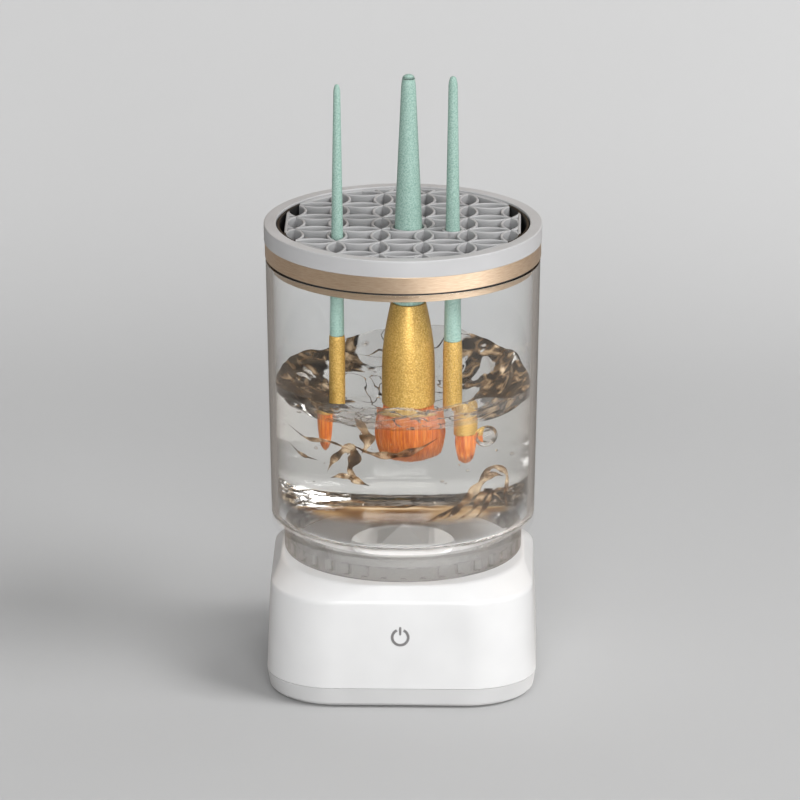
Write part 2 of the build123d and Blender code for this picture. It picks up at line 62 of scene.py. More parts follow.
# ---------------------------------------------------------------- colours and node trees
def linear(colour):
    """An sRGB hex colour as linear RGBA."""
    channels = [int(colour[i:i + 2], 16) / 255 for i in (1, 3, 5)]
    return [c / 12.92 if c <= 0.04045 else ((c + 0.055) / 1.055) ** 2.4 for c in channels] + [1.0]


def give(tree, node, inputs):
    """Sets a node's inputs: to a value, or to a link where a socket is given."""
    for key, value in inputs.items():
        if isinstance(value, bpy.types.NodeSocket):
            tree.links.new(value, node.inputs[key])
        else:
            node.inputs[key].default_value = value


def add(tree, kind, inputs=None, **settings):
    """Adds a node, with its settings and its inputs."""
    node = tree.nodes.new(kind)
    for name, value in settings.items():
        setattr(node, name, value)
    give(tree, node, inputs or {})
    return node


def start_material(name):
    """An empty material with its Principled shader, and the Object coordinates of the piece."""
    material = bpy.data.materials.new(name)
    material.use_nodes = True
    tree = material.node_tree
    tree.nodes.clear()
    shader = add(tree, "ShaderNodeBsdfPrincipled")
    add(tree, "ShaderNodeOutputMaterial", {"Surface": shader.outputs[0]})
    place = add(tree, "ShaderNodeTexCoord").outputs["Object"]
    return material, tree, shader, place


def grain(tree, shader, place, size, depth, stretch=(1, 1, 1), detail=3.0):
    """Bump from noise whose features are size millimetres across and depth millimetres deep."""
    mapping = add(tree, "ShaderNodeMapping", {"Vector": place, "Scale": stretch})
    texture = add(tree, "ShaderNodeTexNoise", {"Vector": mapping.outputs[0],
                                               "Scale": 1 / (size * MM), "Detail": detail})
    bump = add(tree, "ShaderNodeBump", {"Height": texture.outputs[0], "Distance": depth * MM,
                                        "Strength": 1.0})
    tree.links.new(bump.outputs[0], shader.inputs["Normal"])
    return texture.outputs[0]


def between(tree, factor, stops):
    """A colour ramp over factor, from (position, hex colour) stops."""
    ramp = add(tree, "ShaderNodeValToRGB", {"Fac": factor})
    elements = ramp.color_ramp.elements
    while len(elements) < len(stops):
        elements.new(0.5)
    for element, (position, colour) in zip(elements, stops):
        element.position = position
        element.color = linear(colour)
    return ramp.outputs[0]


def roughness_range(tree, shader, factor, low, high):
    """Roughness that wanders between two values with a pattern."""
    spread = add(tree, "ShaderNodeMapRange", {"Value": factor, "To Min": low, "To Max": high})
    tree.links.new(spread.outputs[0], shader.inputs["Roughness"])


def let_through(tree, surface, share):
    """Makes a share of the surface plainly transparent, and puts it out as the material."""
    open_way = add(tree, "ShaderNodeBsdfTransparent")
    mix = add(tree, "ShaderNodeMixShader", {0: share, 1: surface, 2: open_way.outputs[0]})
    output = next(n for n in tree.nodes if n.type == "OUTPUT_MATERIAL")
    tree.links.new(mix.outputs[0], output.inputs["Surface"])
    return mix.outputs[0]


def let_light_through(tree, shader, share):
    """Lamps shine through the clear material, so what stands inside it isn't left in the dark."""
    path = add(tree, "ShaderNodeLightPath")
    fraction = add(tree, "ShaderNodeMath", {0: path.outputs["Is Shadow Ray"], 1: share},
                   operation="MULTIPLY")
    return let_through(tree, shader.outputs[0], fraction.outputs[0])


def fade(tree, value, start, end, full=1.0):
    """Full below the start of a range and nothing above its end, both in millimetres."""
    return add(tree, "ShaderNodeMapRange", {"Value": value, "From Min": start * MM,
                                            "From Max": end * MM, "To Min": full,
                                            "To Max": 0.0}).outputs[0]


# ---------------------------------------------------------------- materials
def moulded_plastic(name, dark, light, rough=(0.3, 0.4), size=0.5, depth=0.004, sheen=0.0):
    """Injection-moulded plastic: an even colour with a faint spark-eroded grain in the gloss."""
    material, tree, shader, place = start_material(name)
    height = grain(tree, shader, place, size, depth)
    broad = add(tree, "ShaderNodeTexNoise", {"Vector": place, "Scale": 45.0, "Detail": 2.0})
    colour = between(tree, broad.outputs[0], ((0.35, dark), (0.65, light)))
    tree.links.new(colour, shader.inputs["Base Color"])
    roughness_range(tree, shader, height, *rough)
    give(tree, shader, {"IOR": 1.5, "Sheen Weight": sheen})
    return material


def metal(name, dark, light, rough, size=0.3, depth=0.003, stretch=(1, 1, 1)):
    """Bare or plated metal: brushing or blasting shows as stretched or even grain."""
    material, tree, shader, place = start_material(name)
    height = grain(tree, shader, place, size, depth, stretch)
    colour = between(tree, height, ((0.35, dark), (0.65, light)))
    tree.links.new(colour, shader.inputs["Base Color"])
    roughness_range(tree, shader, height, *rough)
    shader.inputs["Metallic"].default_value = 1.0
    return material


def silicone():
    """Moulded silicone: a soft, slightly translucent grey, with painted shade that darkens it deep
    down in the cells and a painted shadow, nearly black, in the slots at the two sides."""
    material, tree, shader, place = start_material("grey_silicone")
    height = grain(tree, shader, place, 0.35, 0.006)
    roughness_range(tree, shader, height, 0.48, 0.58)
    where = add(tree, "ShaderNodeSeparateXYZ", {0: place})
    aside = add(tree, "ShaderNodeMath", {0: where.outputs["X"]}, operation="ABSOLUTE")
    flat = add(tree, "ShaderNodeVectorMath", {0: place, 1: (1.0, 1.0, 0.0)},
               operation="MULTIPLY")
    away = add(tree, "ShaderNodeVectorMath", {0: flat.outputs[0]}, operation="LENGTH")
    # painted shade: the silicone darkens towards the bottom of the cells
    deep = fade(tree, where.outputs["Z"], 151, 164.5, 0.6)
    depth = between(tree, deep, ((0.0, "#b4b4b5"), (0.6, "#77777a")))
    # painted shadow: nearly black on the rim at the two sides, where it stands in the ring's shade
    rim = add(tree, "ShaderNodeMath", {0: away.outputs["Value"], 1: 42.9 * MM},
              operation="GREATER_THAN")
    side = add(tree, "ShaderNodeMath", {0: aside.outputs[0], 1: 37 * MM},
               operation="GREATER_THAN")
    slot_shadow_mask = add(tree, "ShaderNodeMath", {0: rim.outputs[0], 1: side.outputs[0]},
                 operation="MULTIPLY")
    colour = add(tree, "ShaderNodeMix", {"Factor": slot_shadow_mask.outputs[0], "A": depth,
                                         "B": linear("#1f1f20")}, data_type="RGBA")
    give(tree, shader, {"Base Color": colour.outputs["Result"], "Subsurface Weight": 0.12,
                        "Subsurface Radius": (1.0, 1.0, 1.0), "Subsurface Scale": 1.0 * MM})
    return material


def hub_plastic():
    """White plastic of the drive hub, with a faint glow that grows on its upper faces. It makes
    up for the light that the cup's and the water's many surfaces keep from it."""
    material = moulded_plastic("hub_abs", "#e0e0e0", "#e6e6e6", (0.3, 0.4), 0.6, 0.003)
    tree = material.node_tree
    shader = tree.nodes["Principled BSDF"]
    facing = add(tree, "ShaderNodeVectorMath",
                 {0: add(tree, "ShaderNodeNewGeometry").outputs["Normal"], 1: (0.3, -0.3, 0.9)},
                 operation="DOT_PRODUCT")
    glow = add(tree, "ShaderNodeMapRange", {"Value": facing.outputs["Value"], "To Min": 0.09,
                                            "To Max": 0.4})
    give(tree, shader, {"Emission Color": linear("#efece8"), "Emission Strength": glow.outputs[0]})
    return material


def circuit_laminate():
    """Green solder mask over glass laminate, with paler lines where copper lies under it."""
    material, tree, shader, place = start_material("circuit_laminate")
    tracks = add(tree, "ShaderNodeTexVoronoi", {"Vector": place, "Scale": 350.0},
                 distance="MANHATTAN", feature="DISTANCE_TO_EDGE")
    colour = between(tree, tracks.outputs["Distance"], ((0.03, "#2f7d4a"), (0.07, "#0f4a28")))
    tree.links.new(colour, shader.inputs["Base Color"])
    grain(tree, shader, place, 0.3, 0.004)
    shader.inputs["Roughness"].default_value = 0.28
    return material


def mint_lacquer():
    """Speckled mint lacquer on wood: a pebbled, stone-like skin with pale and teal flecks.
    The flecks are drawn about twice their real size, so that they show."""
    material, tree, shader, place = start_material("mint_lacquer")
    height = grain(tree, shader, place, 0.5, 0.05, detail=4.0)
    flecks = add(tree, "ShaderNodeTexVoronoi", {"Vector": place, "Scale": 1 / (0.7 * MM)})
    base = between(tree, height, ((0.34, "#82a599"), (0.5, "#9ab9ae"), (0.66, "#a9c7bd")))
    pale = between(tree, flecks.outputs["Distance"], ((0.10, "#ffffff"), (0.2, "#000000")))
    mix = add(tree, "ShaderNodeMix", {"Factor": pale, "A": base, "B": linear("#b9d2c9")},
              data_type="RGBA")
    tree.links.new(mix.outputs["Result"], shader.inputs["Base Color"])
    roughness_range(tree, shader, height, 0.45, 0.7)
    return material


def gold_plate():
    """Gold-plated brass, fine satin blast: glows yellow, darker in the hollows of the blast."""
    material, tree, shader, place = start_material("gold_plate")
    height = grain(tree, shader, place, 0.5, 0.03, detail=4.0)
    colour = between(tree, height, ((0.3, "#b08840"), (0.5, "#cfa653"), (0.7, "#eccb80")))
    tree.links.new(colour, shader.inputs["Base Color"])
    roughness_range(tree, shader, height, 0.36, 0.5)
    shader.inputs["Metallic"].default_value = 0.45
    return material


def synthetic_hair():
    """Dyed synthetic hair: deep orange with paler, slightly shiny strands."""
    material, tree, shader, place = start_material("synthetic_hair")
    strands = add(tree, "ShaderNodeMapping", {"Vector": place, "Scale": (1, 1, 0.06)})
    texture = add(tree, "ShaderNodeTexNoise", {"Vector": strands.outputs[0],
                                               "Scale": 1 / (0.6 * MM), "Detail": 2.0})
    colour = between(tree, texture.outputs[0], ((0.3, "#b84e0c"), (0.5, "#d97418"),
                                                (0.7, "#f0a04a")))
    give(tree, shader, {"Base Color": colour, "Roughness": 0.42, "Sheen Weight": 0.3})
    return material


def clear_glass(name, colour, index, rough, ripple, depth):
    """A clear material, with a slight ripple in its surface."""
    material, tree, shader, place = start_material(name)
    grain(tree, shader, place, ripple, depth, detail=2.0)
    give(tree, shader, {"Base Color": colour, "Roughness": rough, "IOR": index,
                        "Transmission Weight": 1.0})
    return material, tree, shader, place


def clear_copolyester():
    """Clear moulded copolyester of the cup. Its thick corner at the ledge is left thin-looking,
    so that it doesn't draw a black line."""
    material, tree, shader, place = clear_glass("clear_copolyester", linear("#fcfdfd"), 1.49,
                                                0.0, 9.0, 0.01)
    shader.inputs["Specular Tint"].default_value = linear("#8c8c8c")
    clear = let_light_through(tree, shader, 0.94)
    height = add(tree, "ShaderNodeSeparateXYZ", {0: place}).outputs["Z"]
    let_through(tree, clear, fade(tree, height, 57.6, 59.5, 0.97))
    return material


def textured_copolyester():
    """The same copolyester where the cup's foot is textured inside: greyer and less clear."""
    material, tree, shader, _ = clear_glass("textured_copolyester", linear("#9f9e9c"), 1.4,
                                            0.06, 1.1, 0.15)
    clear = let_light_through(tree, shader, 0.85)
    let_through(tree, clear, 0.3)
    return material


def stirred_water(tint):
    """Soapy rinse water, clear and faintly warm. Low down at the front it thins out to plain
    transparency, so that the drive under the floor can be seen."""
    material, tree, shader, place = clear_glass("stirred_water", tint, 1.333, 0.0, 7.0, 0.06)
    clear = let_light_through(tree, shader, 0.94)
    where = add(tree, "ShaderNodeSeparateXYZ", {0: place})
    low = fade(tree, where.outputs["Z"], 66.5, 69.5, 0.98)
    front = fade(tree, where.outputs["Y"], -14, 12)
    both = add(tree, "ShaderNodeMath", {0: low, 1: front}, operation="MULTIPLY")
    let_through(tree, clear, both.outputs[0])
    return material


def whirl_surface(tint):
    """The top of the water: nearly unseen where it's calm, with a painted reflection in it: thin
    dark lines where it folds, and dark amber where it is thrown up against the wall at either
    side."""
    material, tree, shader, place = clear_glass("whirl_surface", tint, 1.333, 0.0, 5.0, 0.08)
    folds = add(tree, "ShaderNodeTexNoise", {"Vector": place, "Scale": 48.0, "Detail": 2.5,
                                             "Distortion": 1.6}).outputs[0]
    off = add(tree, "ShaderNodeMath", {0: folds, 1: 0.5}, operation="SUBTRACT")
    near = add(tree, "ShaderNodeMath", {0: off.outputs[0]}, operation="ABSOLUTE")
    line = add(tree, "ShaderNodeMapRange", {"Value": near.outputs[0], "From Min": 0.006,
                                            "From Max": 0.018, "To Min": 1.0, "To Max": 0.0})
    where = add(tree, "ShaderNodeSeparateXYZ", {0: place})
    aside = add(tree, "ShaderNodeMath", {0: where.outputs["X"]}, operation="ABSOLUTE")
    outer = fade(tree, aside.outputs[0], 15, 33)
    lifted = add(tree, "ShaderNodeMapRange", {"Value": outer, "To Min": 0.3, "To Max": -0.02})
    clump = add(tree, "ShaderNodeMath", {0: folds, 1: lifted.outputs[0]})
    patch = add(tree, "ShaderNodeMapRange", {"Value": clump.outputs[0], "From Min": 0.62,
                                             "From Max": 0.66})
    dark = add(tree, "ShaderNodeMath", {0: line.outputs[0], 1: patch.outputs[0]},
               operation="MAXIMUM")
    shades = add(tree, "ShaderNodeTexNoise", {"Vector": place, "Scale": 160.0, "Detail": 3.0,
                                              "Distortion": 1.0}).outputs[0]
    # painted reflection of the dark brown and amber surroundings
    amber = between(tree, shades, ((0.36, "#0d0906"), (0.48, "#33261a"), (0.56, "#6b5236"),
                                   (0.68, "#cdb08a")))
    colour = add(tree, "ShaderNodeMix", {"Factor": dark.outputs[0], "A": tint, "B": amber},
                 data_type="RGBA")
    tree.links.new(colour.outputs["Result"], shader.inputs["Base Color"])
    # the water is less clear under the painted reflection, so that it shows
    painted_reflection_opacity = add(tree, "ShaderNodeMapRange", {"Value": dark.outputs[0], "To Min": 1.0,
                                              "To Max": 0.2})
    tree.links.new(painted_reflection_opacity.outputs[0], shader.inputs["Transmission Weight"])
    clear = let_light_through(tree, shader, 0.94)
    calm = add(tree, "ShaderNodeMapRange", {"Value": dark.outputs[0], "To Min": 0.72,
                                            "To Max": 0.03})
    let_through(tree, clear, calm.outputs[0])
    return material


def amber_streak():
    """Glassy strands in the water, coloured amber as a painted reflection of the warm
    surroundings.
    """
    material, tree, shader, place = clear_glass("amber_streak", linear("#8a6642"), 1.3, 0.03,
                                                2.0, 0.1)
    # painted reflection: dark brown to pale amber, as of the warm surroundings
    tone = add(tree, "ShaderNodeTexNoise", {"Vector": place, "Scale": 260.0, "Detail": 2.0})
    colour = between(tree, tone.outputs[0], ((0.38, "#3c2817"), (0.5, "#8e6942"),
                                             (0.62, "#e6cfae")))
    give(tree, shader, {"Base Color": colour, "Transmission Weight": 0.6})
    clear = let_light_through(tree, shader, 0.8)
    let_through(tree, clear, 0.2)
    return material


# name, dark and light colour, roughness range, then grain size and depth in millimetres
PLASTICS = {
    "white": ("white_abs", "#e0e0e0", "#e6e6e6", (0.28, 0.36), 0.6, 0.003),
    "grey": ("grey_abs", "#cfcfcf", "#d5d5d5", (0.34, 0.44), 0.5, 0.004),
    "ring": ("grey_satin_plastic", "#bbbbbc", "#c2c2c3", (0.42, 0.5), 0.4, 0.003),
    "magnet": ("ferrite", "#27272a", "#343437", (0.55, 0.7), 0.15, 0.02),
    "acetal": ("acetal", "#dedbd0", "#e8e5db", (0.3, 0.42), 0.5, 0.004),
    "dark": ("dark_abs", "#333538", "#404246", (0.45, 0.6), 0.4, 0.01),
    "rubber": ("foot_rubber", "#1d1d1e", "#272728", (0.65, 0.8), 0.25, 0.02, 0.2),
    "seal": ("seal_rubber", "#2c2c2d", "#363637", (0.4, 0.5), 0.3, 0.006),
    "sleeve": ("shrink_sleeve", "#24558f", "#2f66a6", (0.2, 0.3), 4.0, 0.05),
}
# the same for metals, and last how the grain is stretched: high in Z for turned or rolled lines
METALS = {
    "champagne": ("champagne_aluminium", "#e0c6aa", "#f0dcc4", (0.26, 0.34), 3.0, 0.004,
                  (1, 1, 16)),
    "inlay": ("polished_steel_inlay", "#9c9da0", "#acadb0", (0.3, 0.4), 0.4, 0.002),
    "steel": ("ground_steel", "#8f9094", "#b3b4b8", (0.22, 0.38), 0.8, 0.003, (1, 1, 12)),
    "can": ("drawn_steel", "#84868a", "#a0a2a6", (0.28, 0.42), 0.6, 0.004, (6, 6, 1)),
    "bronze": ("sintered_bronze", "#7d5a33", "#a9814d", (0.4, 0.6), 0.2, 0.02),
    "armature": ("laminated_iron", "#6e4a32", "#9a6f4c", (0.35, 0.5), 0.5, 0.03, (1, 1, 6)),
}
OTHERS = {"hub": hub_plastic, "silicone": silicone, "board": circuit_laminate,
          "mint": mint_lacquer, "gold": gold_plate, "hair": synthetic_hair,
          "clear": clear_copolyester, "foot": textured_copolyester}
FINISHES = {}


def finish(key):
    """The material of a finish, made once and shared."""
    if key not in FINISHES:
        if key in PLASTICS:
            FINISHES[key] = moulded_plastic(*PLASTICS[key])
        elif key in METALS:
            FINISHES[key] = metal(*METALS[key])
        else:
            FINISHES[key] = OTHERS[key]()
    return FINISHES[key]


# ---------------------------------------------------------------- shapes
def link(name, mesh, material):
    piece = bpy.data.objects.new(name, mesh)
    bpy.context.scene.collection.objects.link(piece)
    mesh.materials.clear()
    mesh.materials.append(material)
    return piece


def eased(points, closed=True, steps=5):
    """Rounds a path's corners. Each point is its coordinates and then how far its corner eases."""
    result = []
    count = len(points)
    for i, point in enumerate(points):
        here = Vector(point[:-1])
        ease = point[-1]
        if ease == 0 or (not closed and i in (0, count - 1)):
            result.append(here)
            continue
        before = (Vector(points[i - 1][:-1]) - here).normalized() * ease
        after = (Vector(points[(i + 1) % count][:-1]) - here).normalized() * ease
        for step in range(steps + 1):
            t = step / steps
            result.append(here + before * (1 - t) ** 2 + after * t ** 2)
    return result


def skin(name, loops, material, close_loops=False, smooth=True):
    """A mesh through rings of points; a ring of one point closes to a pole."""
    work = bmesh.new()
    rings = [[work.verts.new(p) for p in loop] for loop in loops]
    pairs = list(zip(rings, rings[1:]))
    if close_loops:
        pairs.append((rings[-1], rings[0]))
    for low, high in pairs:
        size = max(len(low), len(high))
        for i in range(size):
            j = (i + 1) % size
            corners = [low[i % len(low)], low[j % len(low)],
                       high[j % len(high)], high[i % len(high)]]
            distinct = list(dict.fromkeys(corners))
            if len(distinct) > 2:
                work.faces.new(distinct)
    bmesh.ops.recalc_face_normals(work, faces=work.faces)
    mesh = bpy.data.meshes.new(name)
    work.to_mesh(mesh)
    work.free()
    piece = link(name, mesh, material)
    if smooth:
        mesh.shade_smooth()
        even_normals(piece)
    return piece


def even_normals(piece):
    """Keeps large flat faces flat in the shading beside their narrow rounded edges."""
    weighting = piece.modifiers.new("Even normals", "WEIGHTED_NORMAL")
    weighting.weight = 100
    weighting.keep_sharp = True


def lathe(name, outline, material, at=(0, 0), steps=160, closed=True):
    """Turns an outline of (radius, height, ease) corners, in millimetres, about its axis."""
    loops = []
    for radius, height in eased(outline, closed):
        if radius < 1e-6:
            loops.append([(at[0] * MM, at[1] * MM, height * MM)])
            continue
        turn = [2 * math.pi * i / steps for i in range(steps)]
        loops.append([((at[0] + radius * math.cos(a)) * MM, (at[1] + radius * math.sin(a)) * MM,
                       height * MM) for a in turn])
    return skin(name, loops, material, close_loops=closed)


def square_loop(half, corner, height, steps=14):
    """A rounded square as a ring of points, in millimetres, with the same count at every size."""
    points = []
    flat = half - corner
    for quarter in range(4):
        start = quarter * math.pi / 2
        for i in range(steps + 1):
            turn = start + math.pi / 2 * i / steps
            side = math.copysign(1, math.cos(start + math.pi / 4))
            front = math.copysign(1, math.sin(start + math.pi / 4))
            points.append(((side * flat + corner * math.cos(turn)) * MM,
                           (front * flat + corner * math.sin(turn)) * MM, height * MM))
    return points


def plain_mesh(piece):
    """The piece with its modifiers applied, as a plain mesh in a new object."""
    bpy.context.view_layer.update()
    evaluated = piece.evaluated_get(bpy.context.evaluated_depsgraph_get())
    mesh = bpy.data.meshes.new_from_object(evaluated)
    materials = list(piece.data.materials)
    name = piece.name
    bpy.data.objects.remove(piece)
    mesh.name = name
    result = bpy.data.objects.new(name, mesh)
    bpy.context.scene.collection.objects.link(result)
    if not len(mesh.materials):
        for material in materials:
            mesh.materials.append(material)
    return result


def start_tree(name, sizes):
    """A Geometry Nodes tree whose inputs are a mesh and the named sizes."""
    tree = bpy.data.node_groups.new(name, "GeometryNodeTree")
    tree.interface.new_socket("Mesh", in_out="INPUT", socket_type="NodeSocketGeometry")
    for label, value in sizes.items():
        kind = "NodeSocketInt" if isinstance(value, int) else "NodeSocketFloat"
        tree.interface.new_socket(label, in_out="INPUT", socket_type=kind)
    tree.interface.new_socket("Mesh", in_out="OUTPUT", socket_type="NodeSocketGeometry")
    return tree, tree.nodes.new("NodeGroupInput").outputs


def end_tree(tree, geometry, material):
    real = add(tree, "GeometryNodeRealizeInstances", {"Geometry": geometry})
    smooth = add(tree, "GeometryNodeSetShadeSmooth", {"Geometry": real.outputs[0]})
    paint = add(tree, "GeometryNodeSetMaterial", {"Geometry": smooth.outputs[0],
                                                  "Material": material})
    add(tree, "NodeGroupOutput", {0: paint.outputs[0]})


def grow(name, tree, sizes, material, mesh=None):
    """Runs a tree on a mesh with its sizes, and returns the result as a plain mesh object."""
    piece = link(name, mesh or bpy.data.meshes.new(name), material)
    pattern = piece.modifiers.new("Pattern", "NODES")
    pattern.node_group = tree
    for item in tree.interface.items_tree:
        if item.in_out == "INPUT" and item.name in sizes:
            pattern[item.identifier] = sizes[item.name]
    return plain_mesh(piece)


def settle(piece, body, slot, *nodes):
    """Puts a finished piece on its body, in place of its CAD nodes; its slot is not used."""
    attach(piece, body)
    if nodes:
        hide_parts(*nodes)


def span(node):
    """Lowest and highest corner of a CAD node in millimetres."""
    low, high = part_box(node)
    return low / MM, high / MM


# ---------------------------------------------------------------- sizes
# corners of the frame's nodes, and sizes that several pieces share, in millimetres
RING_LOW, RING_HIGH = span("top_ring")
BAND_LOW, BAND_HIGH = span("gold_band")
HOLDER_LOW, HOLDER_HIGH = span("brush_holder")
CUP_LOW, CUP_HIGH = span("clear_cup")
SHELL_LOW, SHELL_HIGH = span("base_shell")
HUB_HIGH = span("drive_hub")[1]
SEAL_LOW, SEAL_HIGH = span("lid_seal")
RING_WIDE = 4.3          # from the ring's outer edge in to the brush holder
CUP_LEDGE = 9.8          # from the cup's lowest edge up to the ledge that its foot steps in at
CUP_FLOOR = 12.3         # from the cup's lowest edge up to its floor
CUP_TAPER = 1.8          # how much narrower the cup's wall is at the ledge than at the rim
LARGE_COLLAR = 5.95      # radii of the two collars' centre lines
RIGHT_COLLAR = 3.35


def axis_of(node):
    low, high = span(node)
    return ((low.x + high.x) / 2, (low.y + high.y) / 2)


# ---------------------------------------------------------------- settings
class CupSettings(bpy.types.PropertyGroup):
    wall: FloatProperty(name="Wall", description="Thickness of the cup's wall in millimetres",
                        default=2.2, min=1.0, max=4.0)
    ribs: IntProperty(name="Foot ribs", description="Number of ribs inside the foot",
                      default=36, min=3, max=90)
    rib: FloatProperty(name="Rib depth", default=0.8, min=0.2, max=3.0,
                       description="How far the ribs stand out, in millimetres")


class WaterSettings(bpy.types.PropertyGroup):
    rim: FloatProperty(name="Height at the wall", default=110.0,
                       description="Height of the stirred water at the cup's wall, in millimetres")
    dip: FloatProperty(name="Height in the middle", default=97.0,
                       description="Height of the whirl's bottom, in millimetres")
    wave: FloatProperty(name="Wave", default=2.4,
                        description="Height of the waves on the whirl, in millimetres")
    tint: FloatVectorProperty(name="Tint", subtype="COLOR", default=(0.97, 0.95, 0.92),
                              description="Colour that the rinse water takes on")
    seed: IntProperty(name="Seed", description="Seed of the waves", default=7)
    bubbles: IntProperty(name="Bubbles", default=36, min=0, max=400,
                         description="Number of small air bubbles in the water")


class HolderSettings(bpy.types.PropertyGroup):
    pitch: FloatProperty(name="Pitch", default=15.15,
                         description="Distance between the circles' centres, in millimetres")
    web: FloatProperty(name="Web", default=1.0,
                       description="Thickness of the lattice's walls, in millimetres")


class BrushSettings(bpy.types.PropertyGroup):
    hairs: IntProperty(name="Hairs", description="Hairs on the large brush", default=2600)
    thickness: FloatProperty(name="Hair thickness", default=0.16,
                             description="Diameter of one drawn hair, in millimetres")
    seed: IntProperty(name="Seed", description="Seed of the hairs' places", default=3)


class StageSettings(bpy.types.PropertyGroup):
    floor: FloatVectorProperty(name="Floor", subtype="COLOR", default=linear("#c1c1c1")[:3],
                               description="Colour of the floor round the cleaner")
    backdrop: FloatVectorProperty(name="Backdrop", subtype="COLOR",
                                  default=linear("#d2d2d2")[:3],
                                  description="Colour of the paper where it sweeps up")
    key: FloatProperty(name="Key light", description="Power of the key light, in watts",
                       default=20.0)
    azimuth: FloatProperty(name="Camera azimuth", subtype="ANGLE", default=math.radians(1.2),
                           description="Turn of the camera round the cleaner")
    elevation: FloatProperty(name="Camera elevation", subtype="ANGLE", default=math.radians(17.8),
                             description="Height of the camera above the horizon")


# ---------------------------------------------------------------- stage
class MakeStage(bpy.types.Operator):
    """Floor that sweeps up to a backdrop, soft lights and the camera"""
    bl_idname = "brush_cleaner.make_stage"
    bl_label = "Stage"

    def execute(self, context):
        settings = context.scene.cleaner_stage
        self.camera(context, settings)
        self.sweep(settings)
        self.lights(settings)
        self.world(context)
        return {"FINISHED"}

    def camera(self, context, settings):
        lens = 315.0                        # long lens, nearly parallel edges
        distance = 2.4604                   # from the ring's middle to the camera
        aim = Vector((0.0, 0.0, 0.165))
        back = Vector((math.sin(settings.azimuth) * math.cos(settings.elevation),
                       -math.cos(settings.azimuth) * math.cos(settings.elevation),
                       math.sin(settings.elevation)))
        right = Vector((math.cos(settings.azimuth), math.sin(settings.azimuth), 0))
        up = back.cross(right)
        aside = Vector((0.001054, 0.0, 0.06274))     # the ring stands above the view's centre
        data = bpy.data.cameras.new("camera")
        data.lens = lens
        data.clip_end = 50
        camera = bpy.data.objects.new("camera", data)
        context.scene.collection.objects.link(camera)
        place = aim + back * distance - right * aside.x - up * aside.z
        turn = Matrix((right, up, back)).transposed()
        camera.matrix_world = Matrix.Translation(place) @ turn.to_4x4()
        context.scene.camera = camera

    def sweep(self, settings):
        start, radius, top, side = 0.34, 0.45, 2.6, 3.0
        path = [(-4.0, 0.0), (start, 0.0)]
        for step in range(1, 17):
            turn = math.pi / 2 * step / 16
            path.append((start + radius * math.sin(turn), radius * (1 - math.cos(turn))))
        path.append((start + radius, top))
        mesh = bpy.data.meshes.new("sweep")
        vertices = [(x, y, z) for y, z in path for x in (-side, side)]
        faces = [(2 * i, 2 * i + 1, 2 * i + 3, 2 * i + 2) for i in range(len(path) - 1)]
        mesh.from_pydata(vertices, [], faces)
        material = self.paper(settings)
        sweep = link("sweep", mesh, material)
        mesh.shade_smooth()

    def paper(self, settings):
        """Pale paper. Mirrored in glass and metal it is a painted reflection of a room, bright in
        front and to the right and dark to the sides, which gives those surfaces their streaks."""
        material, tree, shader, place = start_material("stage_paper")
        split = add(tree, "ShaderNodeSeparateXYZ", {0: place})
        far = add(tree, "ShaderNodeMapRange", {"Value": split.outputs["Y"], "From Min": 0.25,
                                               "From Max": 0.55},
                  interpolation_type="SMOOTHSTEP")
        paper = add(tree, "ShaderNodeMix", {"Factor": far.outputs[0],
                                            "A": list(settings.floor) + [1.0],
                                            "B": list(settings.backdrop) + [1.0]},
                    data_type="RGBA")
        around = add(tree, "ShaderNodeTexGradient", {"Vector": place}, gradient_type="RADIAL")
        # the painted reflection of a room, by direction round the cleaner: 0.25 is the front, 0.5
        # the right and 0.75 the back
        room = between(tree, around.outputs[1], (
            (0.0, "#92908e"), (0.12, "#8a8885"), (0.25, "#807c78"), (0.33, "#e8e6e4"),
            (0.42, "#ffffff"), (0.50, "#b8b5b2"), (0.60, "#908e8c"), (0.75, "#706e6c"),
            (0.90, "#868482")))
        high = add(tree, "ShaderNodeMath", {0: split.outputs["Z"], 1: 0.12},
                   operation="GREATER_THAN")
        upper = add(tree, "ShaderNodeMix", {"Factor": high.outputs[0], "A": room,
                                            "B": self.painted_reflection_wall(tree, place)},
                    data_type="RGBA")
        path = add(tree, "ShaderNodeLightPath")
        mirrored = add(tree, "ShaderNodeMath", {0: path.outputs["Glossy Depth"], 1: 0.5},
                       operation="GREATER_THAN")
        mix = add(tree, "ShaderNodeMix", {"Factor": mirrored.outputs[0],
                                          "A": paper.outputs["Result"],
                                          "B": upper.outputs["Result"]}, data_type="RGBA")
        give(tree, shader, {"Base Color": mix.outputs["Result"], "Roughness": 0.9,
                            "Specular IOR Level": 0.0})
        # painted highlight: the paper glows, but only where glass and metal mirror it
        glow = add(tree, "ShaderNodeMath", {0: mirrored.outputs[0], 1: 0.5},
                   operation="MULTIPLY")
        give(tree, shader, {"Emission Color": mix.outputs["Result"],
                            "Emission Strength": glow.outputs[0]})
        behind = add(tree, "ShaderNodeNewGeometry").outputs["Backfacing"]
        let_through(tree, shader.outputs[0], behind)
        return material

    def painted_reflection_wall(self, tree, place):
        """Painted reflection: patchy dark brown and amber that only mirrored rays see, which the
        water and the cup's floor throw back.
        """
        patches = add(tree, "ShaderNodeTexNoise", {"Vector": place, "Scale": 3.2, "Detail": 2.0})
        return between(tree, patches.outputs[0], ((0.36, "#3e2b1b"), (0.46, "#785a3e"),
                                                  (0.54, "#a28561"), (0.66, "#dccab0")))

